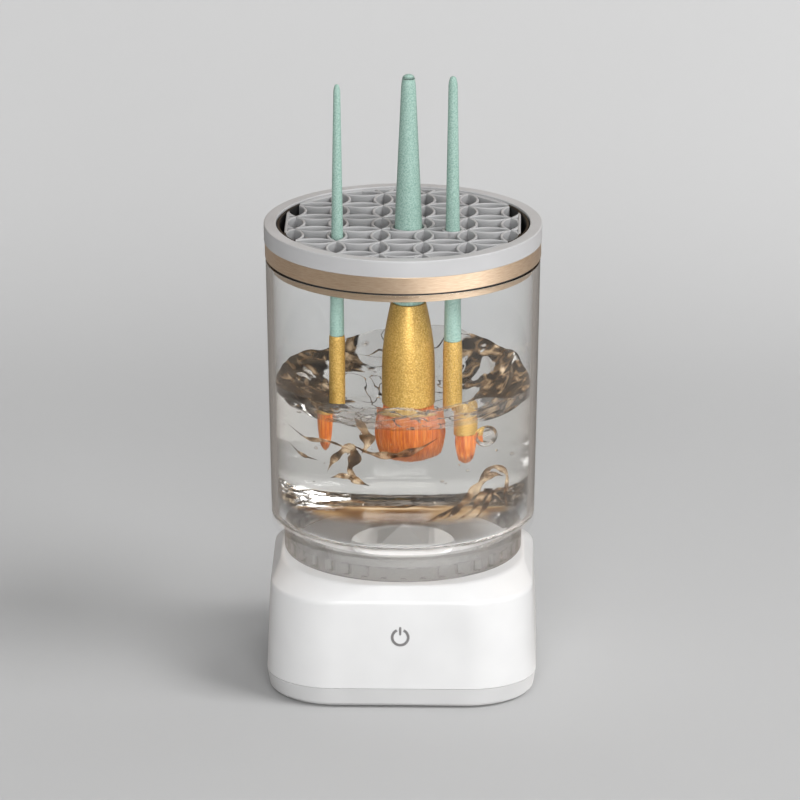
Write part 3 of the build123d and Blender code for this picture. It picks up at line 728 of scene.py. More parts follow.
    def lights(self, settings):
        soft = (("key", (1.72, -0.8, 1.98), 1.25, 2.2),
                ("top", (0.05, 0.1, 1.5), 1.0, 0.05),
                ("fill", (0.1, -2.1, 0.75), 1.2, 1.48))
        for name, place, size, share in soft:
            data = bpy.data.lights.new(name, "AREA")
            data.shape = "SQUARE"
            data.size = size
            data.energy = settings.key * share
            light = bpy.data.objects.new(name, data)
            bpy.context.scene.collection.objects.link(light)
            light.location = place
            aim = Vector((0, 0, 0.08)) - Vector(place)
            light.rotation_euler = aim.to_track_quat("-Z", "Y").to_euler()

    def world(self, context):
        """Even light on what it falls on. Only mirrored rays see the warm room, a painted
        reflection.
        """
        world = bpy.data.worlds.new("studio")
        context.scene.world = world
        world.use_nodes = True
        tree = world.node_tree
        tree.nodes.clear()
        place = add(tree, "ShaderNodeTexCoord").outputs["Generated"]
        path = add(tree, "ShaderNodeLightPath")
        mirrored = add(tree, "ShaderNodeMath", {0: path.outputs["Glossy Depth"], 1: 0.5},
                       operation="GREATER_THAN")
        mix = add(tree, "ShaderNodeMix", {"Factor": mirrored.outputs[0], "A": linear("#d2d2d2"),
                                          "B": self.painted_reflection_wall(tree, place)}, data_type="RGBA")
        background = add(tree, "ShaderNodeBackground", {"Color": mix.outputs["Result"],
                                                        "Strength": 0.35})
        add(tree, "ShaderNodeOutputWorld", {"Surface": background.outputs[0]})
        context.scene.view_settings.view_transform = "Standard"


# ---------------------------------------------------------------- base
class MakeBaseShell(bpy.types.Operator):
    """White shell of the base, square below and round at the deck, with its spindle hole"""
    bl_idname = "brush_cleaner.make_base_shell"
    bl_label = "Base shell"

    def execute(self, context):
        wide = SHELL_HIGH.x
        deck = SHELL_HIGH.z
        low = SHELL_LOW.z
        top = wide - 1.3
        profile = [(5.5, 5.5, deck, 0), (24.0, 20.0, deck, 0), (43.0, 36.0, deck, 1.6),
                   (top, 24.0, deck - 5.3, 1.5), (wide, 24.0, low, 0)]
        loops = [square_loop(half, corner, z) for half, corner, z in eased(profile, False, 8)]
        shell = skin("base_shell_skin", loops, finish("white"), smooth=False)
        self.thicken(shell)
        self.cut_socket_hole(shell)
        shell.data.shade_smooth()
        shell = plain_mesh(shell)
        even_normals(shell)
        settle(shell, "base", "white_abs", "base_shell")
        return {"FINISHED"}

    def thicken(self, shell):
        wall = shell.modifiers.new("Wall", "SOLIDIFY")
        wall.thickness = 2.2 * MM
        wall.offset = -1.0

    def cut_socket_hole(self, shell):
        low, high = span("charging_socket")
        inside, outside = 40.0, 52.0         # the cutter's ends, either side of the rear wall
        gap = 0.3
        half = (high.z - low.z) / 2 + gap
        reach = (high.x - low.x) / 2 + gap
        middle = (high.z + low.z) / 2
        ring = []
        for side in (1, -1):
            for i in range(13):
                turn = -math.pi / 2 + math.pi * i / 12
                ring.append((side * (reach - half + half * math.cos(turn)),
                             middle + side * half * math.sin(turn)))
        loops = [[(x * MM, y * MM, z * MM) for x, z in ring] for y in (inside, outside)]
        loops = [[(0, inside * MM, middle * MM)]] + loops + [[(0, outside * MM, middle * MM)]]
        cutter = skin("socket_cutter", loops, finish("white"), smooth=False)
        hole = shell.modifiers.new("Socket hole", "BOOLEAN")
        hole.object = cutter
        hole.operation = "DIFFERENCE"
        hole.solver = "EXACT"
        bpy.context.view_layer.update()
        evaluated = shell.evaluated_get(bpy.context.evaluated_depsgraph_get())
        mesh = bpy.data.meshes.new_from_object(evaluated)
        shell.modifiers.clear()
        shell.data = mesh
        bpy.data.objects.remove(cutter)


# ---------------------------------------------------------------- cup
class MakeCup(bpy.types.Operator):
    """Clear cup: tapered wall, rounded floor, narrower ribbed foot and the square socket"""
    bl_idname = "brush_cleaner.make_cup"
    bl_label = "Cup"

    def execute(self, context):
        settings = context.scene.cleaner_cup
        rim_r, rim, foot = CUP_HIGH.x, CUP_HIGH.z, CUP_LOW.z
        ledge = foot + CUP_LEDGE
        low_r = rim_r - CUP_TAPER
        foot_r = rim_r - 6.1
        inner = low_r - settings.wall
        foot_in = foot_r - 2.2
        rib_r = foot_in - settings.rib
        floor = foot + CUP_FLOOR
        outline = [(0, ledge, 0), (foot_in - 0.05, ledge, 0.8), (foot_in, foot + 4.8, 0.2),
                   (rib_r, foot + 4.6, 0.2), (rib_r, foot + 1, 0.2),
                   (foot_in, foot + 0.8, 0.2), (foot_in + 0.1, foot, 0.5),
                   (foot_r - 0.2, foot, 0.9), (foot_r, ledge, 0.5), (low_r, ledge, 0.7),
                   (rim_r, rim, 0.6), (rim_r - settings.wall, rim, 0.6),
                   (inner, floor, 3.5), (0, floor, 0)]
        smooth_r = foot_in - 0.1
        per_rib = 8                          # points round the cup to a rib and its gap
        around = settings.ribs * per_rib
        loops = []
        for radius, height in eased(outline):
            ring = []
            for i in range(around if radius > 0 else 1):
                turn = 2 * math.pi * i / around
                between_ribs = i % per_rib > 2 and height < ledge - 2 and radius < smooth_r
                r = smooth_r if between_ribs else radius
                ring.append((r * math.cos(turn) * MM, r * math.sin(turn) * MM, height * MM))
            loops.append(ring)
        cup = skin("clear_cup_skin", loops, finish("clear"), close_loops=True)
        cup.data.materials.append(finish("foot"))
        for face in cup.data.polygons:
            if face.center.z < (ledge - 0.3) * MM:
                face.material_index = 1
        socket = self.socket(HUB_HIGH.z - 6.6, ledge - 0.02)
        with context.temp_override(active_object=cup, object=cup,
                                   selected_editable_objects=[cup, socket]):
            bpy.ops.object.join()
        settle(cup, "cup", "clear_plastic", "clear_cup")
        return {"FINISHED"}

    def socket(self, low, high):
        """Square sleeve under the floor that drops over the hub's boss."""
        loops = [square_loop(half, 0.6, z, 4) for half, z in
                 ((9.4, low), (11.0, low), (11.0, high), (9.4, high))]
        return skin("socket", loops, finish("clear"), close_loops=True, smooth=False)


# ---------------------------------------------------------------- water
# strands as their width and then the points they pass, all in millimetres
STREAKS = (
    (3.4, (12.0, -20, 63), (17.0, -20, 67), (23.0, -20, 75), (28.0, -19, 80), (32.5, -18, 78)),
    (2.6, (15.0, -21, 62), (22.0, -22, 67), (26.0, -22, 74), (29.0, -22, 74), (33.0, -20, 69)),
    (2.2, (19.0, -18, 66), (23.0, -16, 76), (27.0, -15, 82), (33.5, -16, 79), (33.0, -18, 70),
     (34.0, -18, 65)),
    (1.8, (20.0, -24, 62), (26.0, -25, 67), (30.0, -24, 75), (34.0, -20, 74)),
    (1.6, (4.0, -22, 62), (11.0, -23, 65), (18.0, -24, 70), (24.0, -24, 71.5)),
    (4.2, (-22.0, -14, 79), (-20.0, -16, 85), (-15.5, -17, 90), (-13.0, -16, 86),
     (-16.0, -15, 80), (-10.0, -15, 75)),
    (2.8, (-21.5, -18, 78), (-17.0, -20, 80), (-13.0, -20, 77.5), (-9.0, -18, 75.5)),
    (4.6, (-14.0, -19, 101), (-11.0, -20, 97), (-9.5, -20, 92), (-12.0, -20, 88)),
    (3.0, (-15.0, -19, 91), (-9.0, -21, 88), (-2.0, -23, 88), (5.0, -22, 90), (11.0, -20, 94)),
    (1.6, (-38.0, -18, 97), (-31.0, -26, 93.5), (-23.0, -30, 94.5), (-14.0, -32, 91)),
    (1.4, (-37.0, -18, 90), (-33.0, -24, 87), (-27.0, -28, 86.5)),
    (1.2, (-34.0, -20, 71.5), (-24.0, -28, 70.8), (-14.0, -30, 73), (-8.0, -30, 71)),
    (1.2, (-6.0, -26, 69.5), (2.0, -28, 70.6), (9.0, -28, 72)),
)
BIG_BUBBLE = (25.0, -14, 92.5, 3.8)      # its middle and its radius in millimetres


class MakeWater(bpy.types.Operator):
    """Stirred rinse water: one body of water with a whirl for its top"""
    bl_idname = "brush_cleaner.make_water"
    bl_label = "Water"

    def execute(self, context):
        settings = context.scene.cleaner_water
        floor = CUP_LOW.z + CUP_FLOOR
        low = floor + 0.05                   # a hair's gap over the cup's floor
        corner = 3.2                         # the floor rounds up into the wall over this much
        steps, rings = 220, 84
        widest = self.wall_radius(floor)
        loops = [[(0, 0, low * MM)]]
        for i in range(1, 5):
            loops.append(self.ring((widest - corner) * i / 4, low, steps))
        for i in range(1, 25):
            share = i / 24
            def level(angle, share=share):
                top = self.surface(1.0, angle, settings)
                return floor + corner + (top - floor - corner) * share
            loops.append([self.at_wall(2 * math.pi * k / steps, level) for k in range(steps)])
        for i in range(rings - 1, 0, -1):
            share = i / rings
            loops.append(self.ring_surface(share, steps, settings))
        loops.append([(0, 0, self.surface(0.0, 0.0, settings) * MM)])
        tint = list(settings.tint) + [1.0]
        water = skin("rinse_water", loops, stirred_water(tint))
        water.data.materials.append(whirl_surface(tint))
        edge = widest - 0.6
        for face in water.data.polygons:
            away = math.hypot(face.center.x, face.center.y) / MM
            if face.center.z > (floor + 20) * MM and (away < edge or face.normal.z > 0.4):
                face.material_index = 1
        inside = self.streaks() + self.bubbles(settings, water.data.materials[0])
        with context.temp_override(active_object=water, object=water,
                                   selected_editable_objects=[water] + inside):
            bpy.ops.object.join()
        settle(water, "cup", "clear_plastic")
        return {"FINISHED"}

    def streaks(self):
        """Flat, tapering strands that follow their paths through the water."""
        material = amber_streak()
        pieces = []
        for number, (wide, *path) in enumerate(STREAKS):
            points = eased([(*point, 3.0) for point in path], False, 6)
            loops = []
            for i, here in enumerate(points):
                ahead = points[min(i + 1, len(points) - 1)] - points[max(i - 1, 0)]
                across = ahead.cross(Vector((0, -1, 0))).normalized()
                through = ahead.cross(across).normalized()
                swell = math.sin(math.pi * i / (len(points) - 1)) ** 0.6
                half = wide * swell * (0.8 + 0.3 * math.sin(i * 0.8 + number)) / 2
                turns = [2 * math.pi * k / 10 for k in range(10 if half > 0.01 else 1)]
                loops.append([(here + across * half * math.cos(a)
                               + through * half * 0.35 * math.sin(a)) * MM for a in turns])
            pieces.append(skin("streak_%d" % number, loops, material))
            pieces[-1].modifiers.clear()
        return pieces

    def bubbles(self, settings, water):
        """Air bubbles: balls whose faces look inwards, because the water is outside them."""
        chance = random.Random(settings.seed)
        reach, lowest, highest = 43, 60, 93  # where the small bubbles are, in millimetres
        balls = [BIG_BUBBLE]
        for _ in range(settings.bubbles):
            turn = chance.uniform(0, 2 * math.pi)
            away = reach * math.sqrt(chance.random())
            balls.append((away * math.cos(turn), away * math.sin(turn),
                          chance.uniform(lowest, highest), chance.uniform(0.15, 0.55)))
        pieces = []
        for number, (x, y, z, radius) in enumerate(balls):
            rows = 12 if radius > 1 else 6
            loops = []
            for row in range(rows + 1):
                tilt = math.pi * row / rows
                ring = [2 * math.pi * k / (2 * rows) for k in range(2 * rows if 0 < row < rows
                                                                    else 1)]
                loops.append([((x + radius * math.sin(tilt) * math.cos(a)) * MM,
                               (y + radius * math.sin(tilt) * math.sin(a)) * MM,
                               (z - radius * math.cos(tilt)) * MM) for a in ring])
            ball = skin("bubble_%d" % number, loops, water)
            ball.modifiers.clear()
            ball.data.flip_normals()
            pieces.append(ball)
        return pieces

    def wall_radius(self, height):
        """Radius of the cup's inner wall at a height, less a hair's gap."""
        settings = bpy.context.scene.cleaner_cup
        low_r = CUP_HIGH.x - CUP_TAPER - settings.wall
        rise = (height - CUP_LOW.z - CUP_FLOOR) / (CUP_HIGH.z - CUP_LOW.z - CUP_FLOOR)
        gap = 0.08
        return low_r + CUP_TAPER * rise - gap

    def ring(self, radius, height, steps):
        turns = [2 * math.pi * k / steps for k in range(steps)]
        return [(radius * math.cos(a) * MM, radius * math.sin(a) * MM, height * MM)
                for a in turns]

    def at_wall(self, angle, level):
        height = level(angle)
        radius = self.wall_radius(height)
        return (radius * math.cos(angle) * MM, radius * math.sin(angle) * MM, height * MM)

    def ring_surface(self, share, steps, settings):
        points = []
        for k in range(steps):
            angle = 2 * math.pi * k / steps
            edge = self.wall_radius(self.surface(1.0, angle, settings))
            height = self.surface(share, angle, settings)
            points.append((share * edge * math.cos(angle) * MM,
                           share * edge * math.sin(angle) * MM, height * MM))
        return points

    def surface(self, share, angle, settings):
        """Height of the whirl: a bowl, spiral arms and noise that swirls with the radius."""
        bowl = settings.dip + (settings.rim - settings.dip) * share ** 3.2
        swirl = angle + 2.4 * (1 - share)
        x = share * math.cos(swirl) * 2.2
        y = share * math.sin(swirl) * 2.2
        rough = noise.fractal((x + settings.seed, y, 0.3), 1.0, 2.0, 3)
        arms = math.sin(2 * swirl + 5 * share) * share
        return bowl + settings.wave * (1.2 * rough + 0.7 * arms)


# ---------------------------------------------------------------- lid
class MakeRing(bpy.types.Operator):
    """Light grey top ring with eased edges"""
    bl_idname = "brush_cleaner.make_ring"
    bl_label = "Top ring"

    def execute(self, context):
        outer = RING_HIGH.x
        inner = outer - RING_WIDE
        low, top = RING_LOW.z, RING_HIGH.z
        ring = lathe("top_ring_skin", [(inner, low, 0), (outer - 0.05, low, 0.15),
                                       (outer, top, 0.55), (inner, top, 0.45)],
                     finish("ring"), steps=224)
        settle(ring, "lid", "ring_grey", "top_ring")
        return {"FINISHED"}


class MakeBand(bpy.types.Operator):
    """Champagne band with the inner skirt that stands in the cup, and the dark seal under it"""
    bl_idname = "brush_cleaner.make_band"
    bl_label = "Gold band and seal"

    def execute(self, context):
        outer = BAND_HIGH.x
        inner = RING_HIGH.x - RING_WIDE
        top, low = BAND_HIGH.z, SEAL_HIGH.z
        skirt = outer - 3.0
        ledge = outer - 5.5
        ledge_top = BAND_LOW.z + 1.4
        band = lathe("gold_band_skin", [
            (skirt, low, 0), (outer - 0.1, low, 0.3), (outer, top, 0.15), (inner, top, 0),
            (inner, ledge_top, 0), (ledge, ledge_top, 0.2),
            (ledge, BAND_LOW.z, 0.3), (skirt, BAND_LOW.z, 0.3)],
            finish("champagne"), steps=224)
        settle(band, "lid", "champagne", "gold_band")
        seal_r = SEAL_HIGH.x
        seal = lathe("lid_seal_skin", [
            (seal_r - 1.6, SEAL_LOW.z, 0.1), (seal_r, SEAL_LOW.z, 0.2),
            (seal_r, SEAL_HIGH.z, 0.2), (seal_r - 1.6, SEAL_HIGH.z, 0.1)],
            finish("seal"), steps=192)
        settle(seal, "lid", "seal_rubber", "lid_seal")
        return {"FINISHED"}


class MakeHolder(bpy.types.Operator):
    """Silicone lattice of overlapping circles in a thin rim, with a collar round each handle"""
    bl_idname = "brush_cleaner.make_holder"
    bl_label = "Brush holder"

    def execute(self, context):
        settings = context.scene.cleaner_holder
        radius = HOLDER_HIGH.x
        side, corner = self.field(radius, settings.web)
        overlap = 0.05                       # so that the trimmed circles end inside a collar
        large, right = axis_of("large_brush_handle"), axis_of("right_brush_handle")
        sizes = {
            "Pitch": settings.pitch * MM, "Web": settings.web * MM, "Reach": (radius - 0.6) * MM,
            "Side": side * MM, "Corner": corner * MM,
            "Low": HOLDER_LOW.z * MM, "High": HOLDER_HIGH.z * MM,
            "Large X": large[0] * MM, "Large Y": large[1] * MM,
            "Large collar": (LARGE_COLLAR - overlap) * MM,
            "Right X": right[0] * MM, "Right Y": right[1] * MM,
            "Right collar": (RIGHT_COLLAR - overlap) * MM,
        }
        tree, given = start_tree("silicone_lattice", sizes)
        circles = self.trimmed_circles(tree, given)
        walls = add(tree, "GeometryNodeJoinGeometry")
        straight = add(tree, "GeometryNodeMeshToCurve", {"Mesh": given["Mesh"]})
        tree.links.new(circles, walls.inputs[0])
        tree.links.new(straight.outputs[0], walls.inputs[0])
        upright = add(tree, "GeometryNodeSetCurveNormal", {"Curve": walls.outputs[0]},
                      mode="Z_UP")
        tall = add(tree, "ShaderNodeMath", {0: given["High"], 1: given["Low"]},
                   operation="SUBTRACT").outputs[0]
        section = add(tree, "GeometryNodeCurvePrimitiveQuadrilateral",
                      {"Width": given["Web"], "Height": tall})
        ease = add(tree, "ShaderNodeMath", {0: given["Web"], 1: 0.42}, operation="MULTIPLY")
        rounded = add(tree, "GeometryNodeFilletCurve", {"Curve": section.outputs[0], "Count": 3,
                                                        "Radius": ease.outputs[0]}, mode="POLY")
        solid = add(tree, "GeometryNodeCurveToMesh", {
            "Curve": upright.outputs[0], "Profile Curve": rounded.outputs[0], "Fill Caps": True})
        half = add(tree, "ShaderNodeMath", {0: tall, 1: 0.5}, operation="MULTIPLY")
        middle = add(tree, "ShaderNodeMath", {0: half.outputs[0], 1: given["Low"]})
        lift = add(tree, "ShaderNodeCombineXYZ", {"Z": middle.outputs[0]})
        placed = add(tree, "GeometryNodeTransform", {"Geometry": solid.outputs[0],
                                                     "Translation": lift.outputs[0]})
        end_tree(tree, placed.outputs[0], finish("silicone"))
        lines = self.straight_walls(radius, settings.web, large, right)
        holder = grow("brush_holder_skin", tree, sizes, finish("silicone"), lines)
        even_normals(holder)
        settle(holder, "lid", "holder_silicone", "brush_holder")
        return {"FINISHED"}

    def field(self, radius, web):
        """How far out the centre lines of the side walls and of the corner walls run. A corner
        wall's is the sum of its x and y."""
        return radius - 3.05 - web / 2, (radius - 1.05 - web / 2) * math.sqrt(2)

    def trimmed_circles(self, tree, given):
        """Circles on a square grid, cut off at the field's edges and inside the collars."""
        ratio = add(tree, "ShaderNodeMath", {0: given["Pitch"], 1: math.sqrt(2)},
                    operation="DIVIDE").outputs[0]
        circle = add(tree, "GeometryNodeCurvePrimitiveCircle", {"Resolution": 88,
                                                                "Radius": ratio})
        across = add(tree, "ShaderNodeMath", {0: given["Pitch"], 1: 6.0},
                     operation="MULTIPLY").outputs[0]
        grid = add(tree, "GeometryNodeMeshGrid", {"Size X": across, "Size Y": across,
                                                  "Vertices X": 7, "Vertices Y": 7})
        copies = add(tree, "GeometryNodeInstanceOnPoints", {"Points": grid.outputs[0],
                                                            "Instance": circle.outputs[0]})
        real = add(tree, "GeometryNodeRealizeInstances", {"Geometry": copies.outputs[0]})
        lines = add(tree, "GeometryNodeCurveToMesh", {"Curve": real.outputs[0]})
        place = add(tree, "GeometryNodeInputPosition")
        flat = add(tree, "ShaderNodeSeparateXYZ", {0: place.outputs[0]})
        x = add(tree, "ShaderNodeMath", {0: flat.outputs["X"]}, operation="ABSOLUTE").outputs[0]
        y = add(tree, "ShaderNodeMath", {0: flat.outputs["Y"]}, operation="ABSOLUTE").outputs[0]
        both = add(tree, "ShaderNodeMath", {0: x, 1: y}).outputs[0]
        away = add(tree, "ShaderNodeVectorMath", {0: place.outputs[0]}, operation="LENGTH")
        outside = [add(tree, "ShaderNodeMath", {0: value, 1: limit},
                       operation="GREATER_THAN").outputs[0]
                   for value, limit in ((x, given["Side"]), (both, given["Corner"]),
                                        (away.outputs["Value"], given["Reach"]))]
        for brush in ("Large", "Right"):
            axis = add(tree, "ShaderNodeCombineXYZ", {"X": given[brush + " X"],
                                                      "Y": given[brush + " Y"]})
            gap = add(tree, "ShaderNodeVectorMath", {0: place.outputs[0], 1: axis.outputs[0]},
                      operation="DISTANCE")
            outside.append(add(tree, "ShaderNodeMath", {
                0: gap.outputs["Value"], 1: given[brush + " collar"]},
                operation="LESS_THAN").outputs[0])
        total = outside[0]
        for value in outside[1:]:
            total = add(tree, "ShaderNodeMath", {0: total, 1: value}).outputs[0]
        gone = add(tree, "ShaderNodeMath", {0: total, 1: 0.5}, operation="GREATER_THAN")
        trimmed = add(tree, "GeometryNodeDeleteGeometry", {"Geometry": lines.outputs[0],
                                                           "Selection": gone.outputs[0]})
        return add(tree, "GeometryNodeMeshToCurve", {"Mesh": trimmed.outputs[0]}).outputs[0]

    def straight_walls(self, radius, web, large, right):
        """The centre lines of the straight side walls, the rim and the collars."""
        work = bmesh.new()
        side, corner = self.field(radius, web)
        reach = radius - 0.5
        up = math.sqrt(reach ** 2 - side ** 2)
        apart = math.sqrt(2 * reach ** 2 - corner ** 2)
        chords = [((sx * side, -up), (sx * side, up)) for sx in (-1, 1)]
        chords += [((sx * (corner + apart) / 2, sy * (corner - apart) / 2),
                    (sx * (corner - apart) / 2, sy * (corner + apart) / 2))
                   for sx in (-1, 1) for sy in (-1, 1)]
        for ends in chords:
            work.edges.new([work.verts.new((x * MM, y * MM, 0)) for x, y in ends])
        for centre, r, steps in (((0, 0), reach, 160), (large, LARGE_COLLAR, 48),
                                 (right, RIGHT_COLLAR, 32)):
            turns = [2 * math.pi * i / steps for i in range(steps)]
            ring = [work.verts.new(((centre[0] + r * math.cos(a)) * MM,
                                    (centre[1] + r * math.sin(a)) * MM, 0)) for a in turns]
            for one, other in zip(ring, ring[1:] + ring[:1]):
                work.edges.new((one, other))
        mesh = bpy.data.meshes.new("straight_walls")
        work.to_mesh(mesh)
        work.free()
        return mesh


# ---------------------------------------------------------------- brushes
# outlines as (share of the node's half width, share of its height, ease in millimetres)
HANDLES = {
    "large": [(0, 0, 0), (0.912, 0, 0), (0.912, 0.0992, 0.1), (1.0, 0.0992, 0.3),
              (0.854, 0.398, 8), (0.439, 0.9706, 2), (0.35, 0.991, 0.8), (0.17, 0.9988, 0.4),
              (0, 1, 0)],
    "left": [(0, 0, 0), (0.88, 0, 0), (0.88, 0.091, 0.1), (1.0, 0.091, 0.2), (0.832, 0.455, 8),
             (0.48, 0.98, 1.0), (0.28, 0.997, 0.3), (0, 1, 0)],
    "right": [(0, 0, 0), (0.9, 0, 0), (0.9, 0.0866, 0.1), (1.0, 0.0866, 0.2), (0.833, 0.471, 8),
              (0.533, 0.9753, 1.2), (0.33, 0.996, 0.4), (0, 1, 0)],
}
FERRULES = {
    "large": [(0.574, 1.0, 0.1), (0.66, 1.0, 0.2), (0.80, 0.83, 2.0), (0.91, 0.67, 3.0),
              (0.98, 0.5, 3.0), (1.0, 0.3, 2.0), (1.0, 0.008, 0.2), (0.985, 0, 0.1),
              (0.94, 0, 0.1), (0.9, 0.4, 0.5), (0.574, 0.8, 0.3)],
    "left": [(0.83, 1.0, 0.05), (0.946, 1.0, 0.1), (1.0, 0.926, 0.8), (1.0, 0.01, 0.1),
             (0.86, 0, 0.1), (0.86, 0.6, 0.3), (0.83, 0.62, 0.1)],
    "right": [(0.83, 1.0, 0.05), (0.94, 1.0, 0.1), (1.0, 0.875, 0.8), (1.0, 0.01, 0.1),
              (0.88, 0, 0.1), (0.88, 0.6, 0.3), (0.83, 0.66, 0.1)],
}
# share of the hairs, then the head: mouth, height of the mouth above the tips, how far the
# hairs close in, how much they belly out and how round the tip is, all in millimetres
HEADS = {
    "large": (1.0, 8.75, 18.4, 0.86, 1.5, 2.6),
    "left": (0.12, 2.35, 13.7, 0.6, 0.5, 2.2),
    "right": (0.16, 2.95, 10.7, 0.62, 0.65, 1.3),
}


class MakeBrushes(bpy.types.Operator):
    """Three brushes: lacquered handle, gold ferrule and a head of separate hairs"""
    bl_idname = "brush_cleaner.make_brushes"
    bl_label = "Brushes"

    def execute(self, context):
        settings = context.scene.cleaner_brushes
        for name in HANDLES:
            body = name + "_brush"
            self.turned(body + "_handle", HANDLES[name], finish("mint"), body, "handle_mint")
            self.turned(body + "_ferrule", FERRULES[name], finish("gold"), body, "ferrule_gold")
            self.head(body, HEADS[name], settings)
        return {"FINISHED"}

    def turned(self, node, outline, material, body, slot):
        low, high = span(node)
        wide = (high.x - low.x) / 2
        tall = high.z - low.z
        points = [(wide * r, low.z + tall * h, ease) for r, h, ease in outline]
        piece = lathe(node + "_skin", points, material, axis_of(node), 64,
                      closed=outline[0][0] > 0)
        settle(piece, body, slot, node)

    def head(self, body, head, settings):
        share, mouth, length, close, belly, dome = head
        node = body + "_bristles"
        tip = span(node)[0].z
        x, y = axis_of(node)
        sizes = {"Hairs": int(settings.hairs * share), "Mouth": mouth * MM,
                 "Length": length * MM, "Close": close, "Belly": belly * MM,
                 "Dome": dome * MM, "Thick": settings.thickness * MM, "Seed": settings.seed,
                 "X": x * MM, "Y": y * MM, "Z": (tip + length) * MM}
        tree, given = start_tree(body + "_hair", sizes)
        self.hairs(tree, given)
        core = self.core(body, head, tip + length, (x, y))
        piece = grow(body + "_hair", tree, sizes, finish("hair"), core)
        settle(piece, body, "bristle", node)

    def core(self, body, head, top, at):
        """A solid a little smaller than the head, so no light shows between the hairs."""
        _, mouth, length, close, belly, dome = head
        outline = [(0, top + 2, 0), (mouth * 0.97, top + 2, 0), (mouth * 0.97, top, 1.0)]
        for step in (0.25, 0.5, 0.75):
            wide = mouth * (1 - (1 - close) * step) + belly * math.sin(math.pi * step)
            outline.append((wide * 0.93, top - step * (length - dome), 0))
        outline += [(mouth * close * 0.85, top - (length - dome) * 0.97, 0.3),
                    (mouth * close * 0.5, top - length + dome * 0.45, 0.3),
                    (0, top - length + 0.4, 0)]
        core = lathe(body + "_core", outline, finish("hair"), at, 48, closed=False)
        mesh = core.data
        bpy.data.objects.remove(core)
        return mesh

    def hairs(self, tree, given):
        """Hairs from the mouth down to a domed tip: straight cones, then bellied outwards."""
        disc = add(tree, "GeometryNodeMeshCircle", {"Vertices": 48, "Radius": given["Mouth"]},
                   fill_type="NGON")
        area = add(tree, "ShaderNodeMath", {0: given["Mouth"], 1: given["Mouth"]},
                   operation="MULTIPLY")
        spread = add(tree, "ShaderNodeMath", {0: area.outputs[0], 1: math.pi},
                     operation="MULTIPLY")
        density = add(tree, "ShaderNodeMath", {0: given["Hairs"], 1: spread.outputs[0]},
                      operation="DIVIDE")
        roots = add(tree, "GeometryNodeDistributePointsOnFaces",
                    {"Mesh": disc.outputs[0], "Density": density.outputs[0],
                     "Seed": given["Seed"]})
        place = add(tree, "GeometryNodeInputPosition").outputs[0]
        flat = add(tree, "ShaderNodeSeparateXYZ", {0: place})
        away = add(tree, "ShaderNodeVectorMath", {0: place}, operation="LENGTH")
        share = add(tree, "ShaderNodeMath", {0: away.outputs["Value"], 1: given["Mouth"]},
                    operation="DIVIDE")
        curve = add(tree, "ShaderNodeMath", {0: share.outputs[0], 1: 2.2}, operation="POWER")
        rise = add(tree, "ShaderNodeMath", {0: curve.outputs[0], 1: given["Dome"]},
                   operation="MULTIPLY")
        uneven = add(tree, "FunctionNodeRandomValue", {"Min": 0.0, "Max": 0.7 * MM,
                                                       "Seed": given["Seed"]})
        short = add(tree, "ShaderNodeMath", {0: rise.outputs[0], 1: uneven.outputs["Value"]})
        drop = add(tree, "ShaderNodeMath", {0: short.outputs[0], 1: given["Length"]},
                   operation="SUBTRACT")
        inward = add(tree, "ShaderNodeMath", {0: given["Close"], 1: 1.0}, operation="SUBTRACT")
        lean = add(tree, "ShaderNodeVectorMath", {0: place, "Scale": inward.outputs[0]},
                   operation="SCALE")
        down = add(tree, "ShaderNodeCombineXYZ", {"Z": drop.outputs[0]})
        along = add(tree, "ShaderNodeVectorMath", {0: lean.outputs[0], 1: down.outputs[0]})
        turn = add(tree, "FunctionNodeAlignRotationToVector", {"Vector": along.outputs[0]},
                   axis="Z")
        long = add(tree, "ShaderNodeVectorMath", {0: along.outputs[0]}, operation="LENGTH")
        size = add(tree, "ShaderNodeCombineXYZ", {"X": given["Thick"], "Y": given["Thick"],
                                                  "Z": long.outputs["Value"]})
        hair = add(tree, "GeometryNodeMeshCone", {"Vertices": 5, "Side Segments": 4,
                                                  "Radius Top": 0.2, "Radius Bottom": 0.5,
                                                  "Depth": 1.0})
        tuft = add(tree, "GeometryNodeInstanceOnPoints", {
            "Points": roots.outputs[0], "Instance": hair.outputs[0],
            "Rotation": turn.outputs[0], "Scale": size.outputs[0]})
        real = add(tree, "GeometryNodeRealizeInstances", {"Geometry": tuft.outputs[0]})
        depth = add(tree, "ShaderNodeMath", {0: flat.outputs["Z"], 1: given["Length"]},
                    operation="DIVIDE")
        arc = add(tree, "ShaderNodeMath", {0: depth.outputs[0], 1: -math.pi},
                  operation="MULTIPLY")
        wave = add(tree, "ShaderNodeMath", {0: arc.outputs[0]}, operation="SINE")
        reach = add(tree, "ShaderNodeMath", {0: wave.outputs[0], 1: given["Belly"]},
                    operation="MULTIPLY")
        per_radius = add(tree, "ShaderNodeMath", {0: reach.outputs[0], 1: given["Mouth"]},
                         operation="DIVIDE")
        level = add(tree, "ShaderNodeCombineXYZ", {"X": flat.outputs["X"],
                                                   "Y": flat.outputs["Y"]})
        out = add(tree, "ShaderNodeVectorMath",
                  {0: level.outputs[0], "Scale": per_radius.outputs[0]}, operation="SCALE")
        bellied = add(tree, "GeometryNodeSetPosition", {"Geometry": real.outputs[0],
                                                        "Offset": out.outputs[0]})
        stand = add(tree, "ShaderNodeCombineXYZ", {"X": given["X"], "Y": given["Y"],
                                                   "Z": given["Z"]})
        placed = add(tree, "GeometryNodeTransform", {"Geometry": bellied.outputs[0],
                                                     "Translation": stand.outputs[0]})
        whole = add(tree, "GeometryNodeJoinGeometry", {0: given["Mesh"]})
        tree.links.new(placed.outputs[0], whole.inputs[0])
        end_tree(tree, whole.outputs[0], finish("hair"))


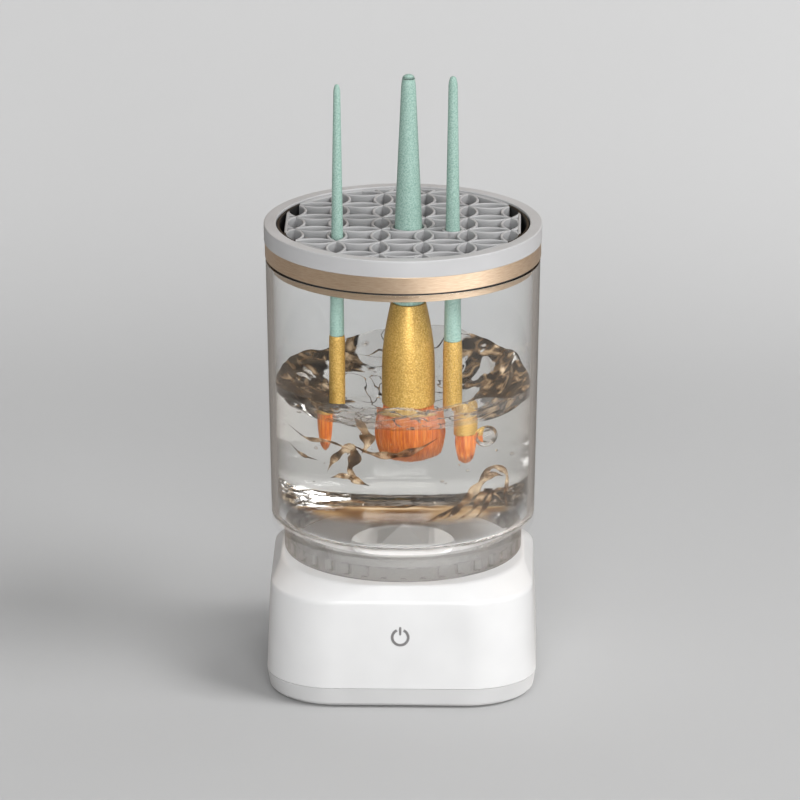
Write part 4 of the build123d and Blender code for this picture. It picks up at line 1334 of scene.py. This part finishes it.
# ---------------------------------------------------------------- CAD nodes that stay
class FinishInnerParts(bpy.types.Operator):
    """Gives every carried-over part the material that it is made of"""
    bl_idname = "brush_cleaner.finish_inner_parts"
    bl_label = "Carried-over parts"

    def execute(self, context):
        finishes = {
            "white_abs": "white", "grey_abs": "grey", "inner_plastic": "dark",
            "gear_acetal": "acetal", "foot_rubber": "rubber", "seal_rubber": "seal",
            "bright_inlay": "inlay", "steel": "steel", "motor_steel": "can",
            "magnet": "magnet", "armature": "armature", "bronze": "bronze", "board": "board",
            "battery_wrap": "sleeve", "clear_plastic": "clear", "hub_white": "hub",
            "ring_grey": "ring", "champagne": "champagne", "holder_silicone": "silicone",
            "handle_mint": "mint", "ferrule_gold": "gold", "bristle": "hair",
        }
        for part in frame["record"]["subparts"]:
            node = frame["nodes"][part["node"]]
            material = finish(finishes[part["material_slot"]])
            node.data.materials.clear()
            node.data.materials.append(material)
        return {"FINISHED"}


# ---------------------------------------------------------------- panel and registration
class CleanerPanel(bpy.types.Panel):
    """Lists the pieces and their sizes"""
    bl_idname = "VIEW3D_PT_brush_cleaner"
    bl_label = "Brush Cleaner"
    bl_space_type = "VIEW_3D"
    bl_region_type = "UI"
    bl_category = "Brush Cleaner"

    def draw(self, context):
        for operator in OPERATORS:
            self.layout.operator(operator.bl_idname)
        for name, group in SETTINGS:
            box = self.layout.box()
            for key in group.__annotations__:
                box.prop(getattr(context.scene, name), key)


SETTINGS = (("cleaner_cup", CupSettings), ("cleaner_water", WaterSettings),
            ("cleaner_holder", HolderSettings), ("cleaner_brushes", BrushSettings),
            ("cleaner_stage", StageSettings))
OPERATORS = (MakeStage, FinishInnerParts, MakeBaseShell, MakeCup, MakeWater, MakeRing, MakeBand,
             MakeHolder, MakeBrushes)


def register():
    for name, group in SETTINGS:
        bpy.utils.register_class(group)
        setattr(bpy.types.Scene, name, PointerProperty(type=group))
    for operator in OPERATORS:
        bpy.utils.register_class(operator)
    bpy.utils.register_class(CleanerPanel)


def unregister():
    bpy.utils.unregister_class(CleanerPanel)
    for operator in reversed(OPERATORS):
        bpy.utils.unregister_class(operator)
    for name, group in SETTINGS:
        delattr(bpy.types.Scene, name)
        bpy.utils.unregister_class(group)


def main():
    register()
    for operator in OPERATORS:
        family, action = operator.bl_idname.split(".")
        getattr(getattr(bpy.ops, family), action)()


if __name__ == "__main__":
    main()
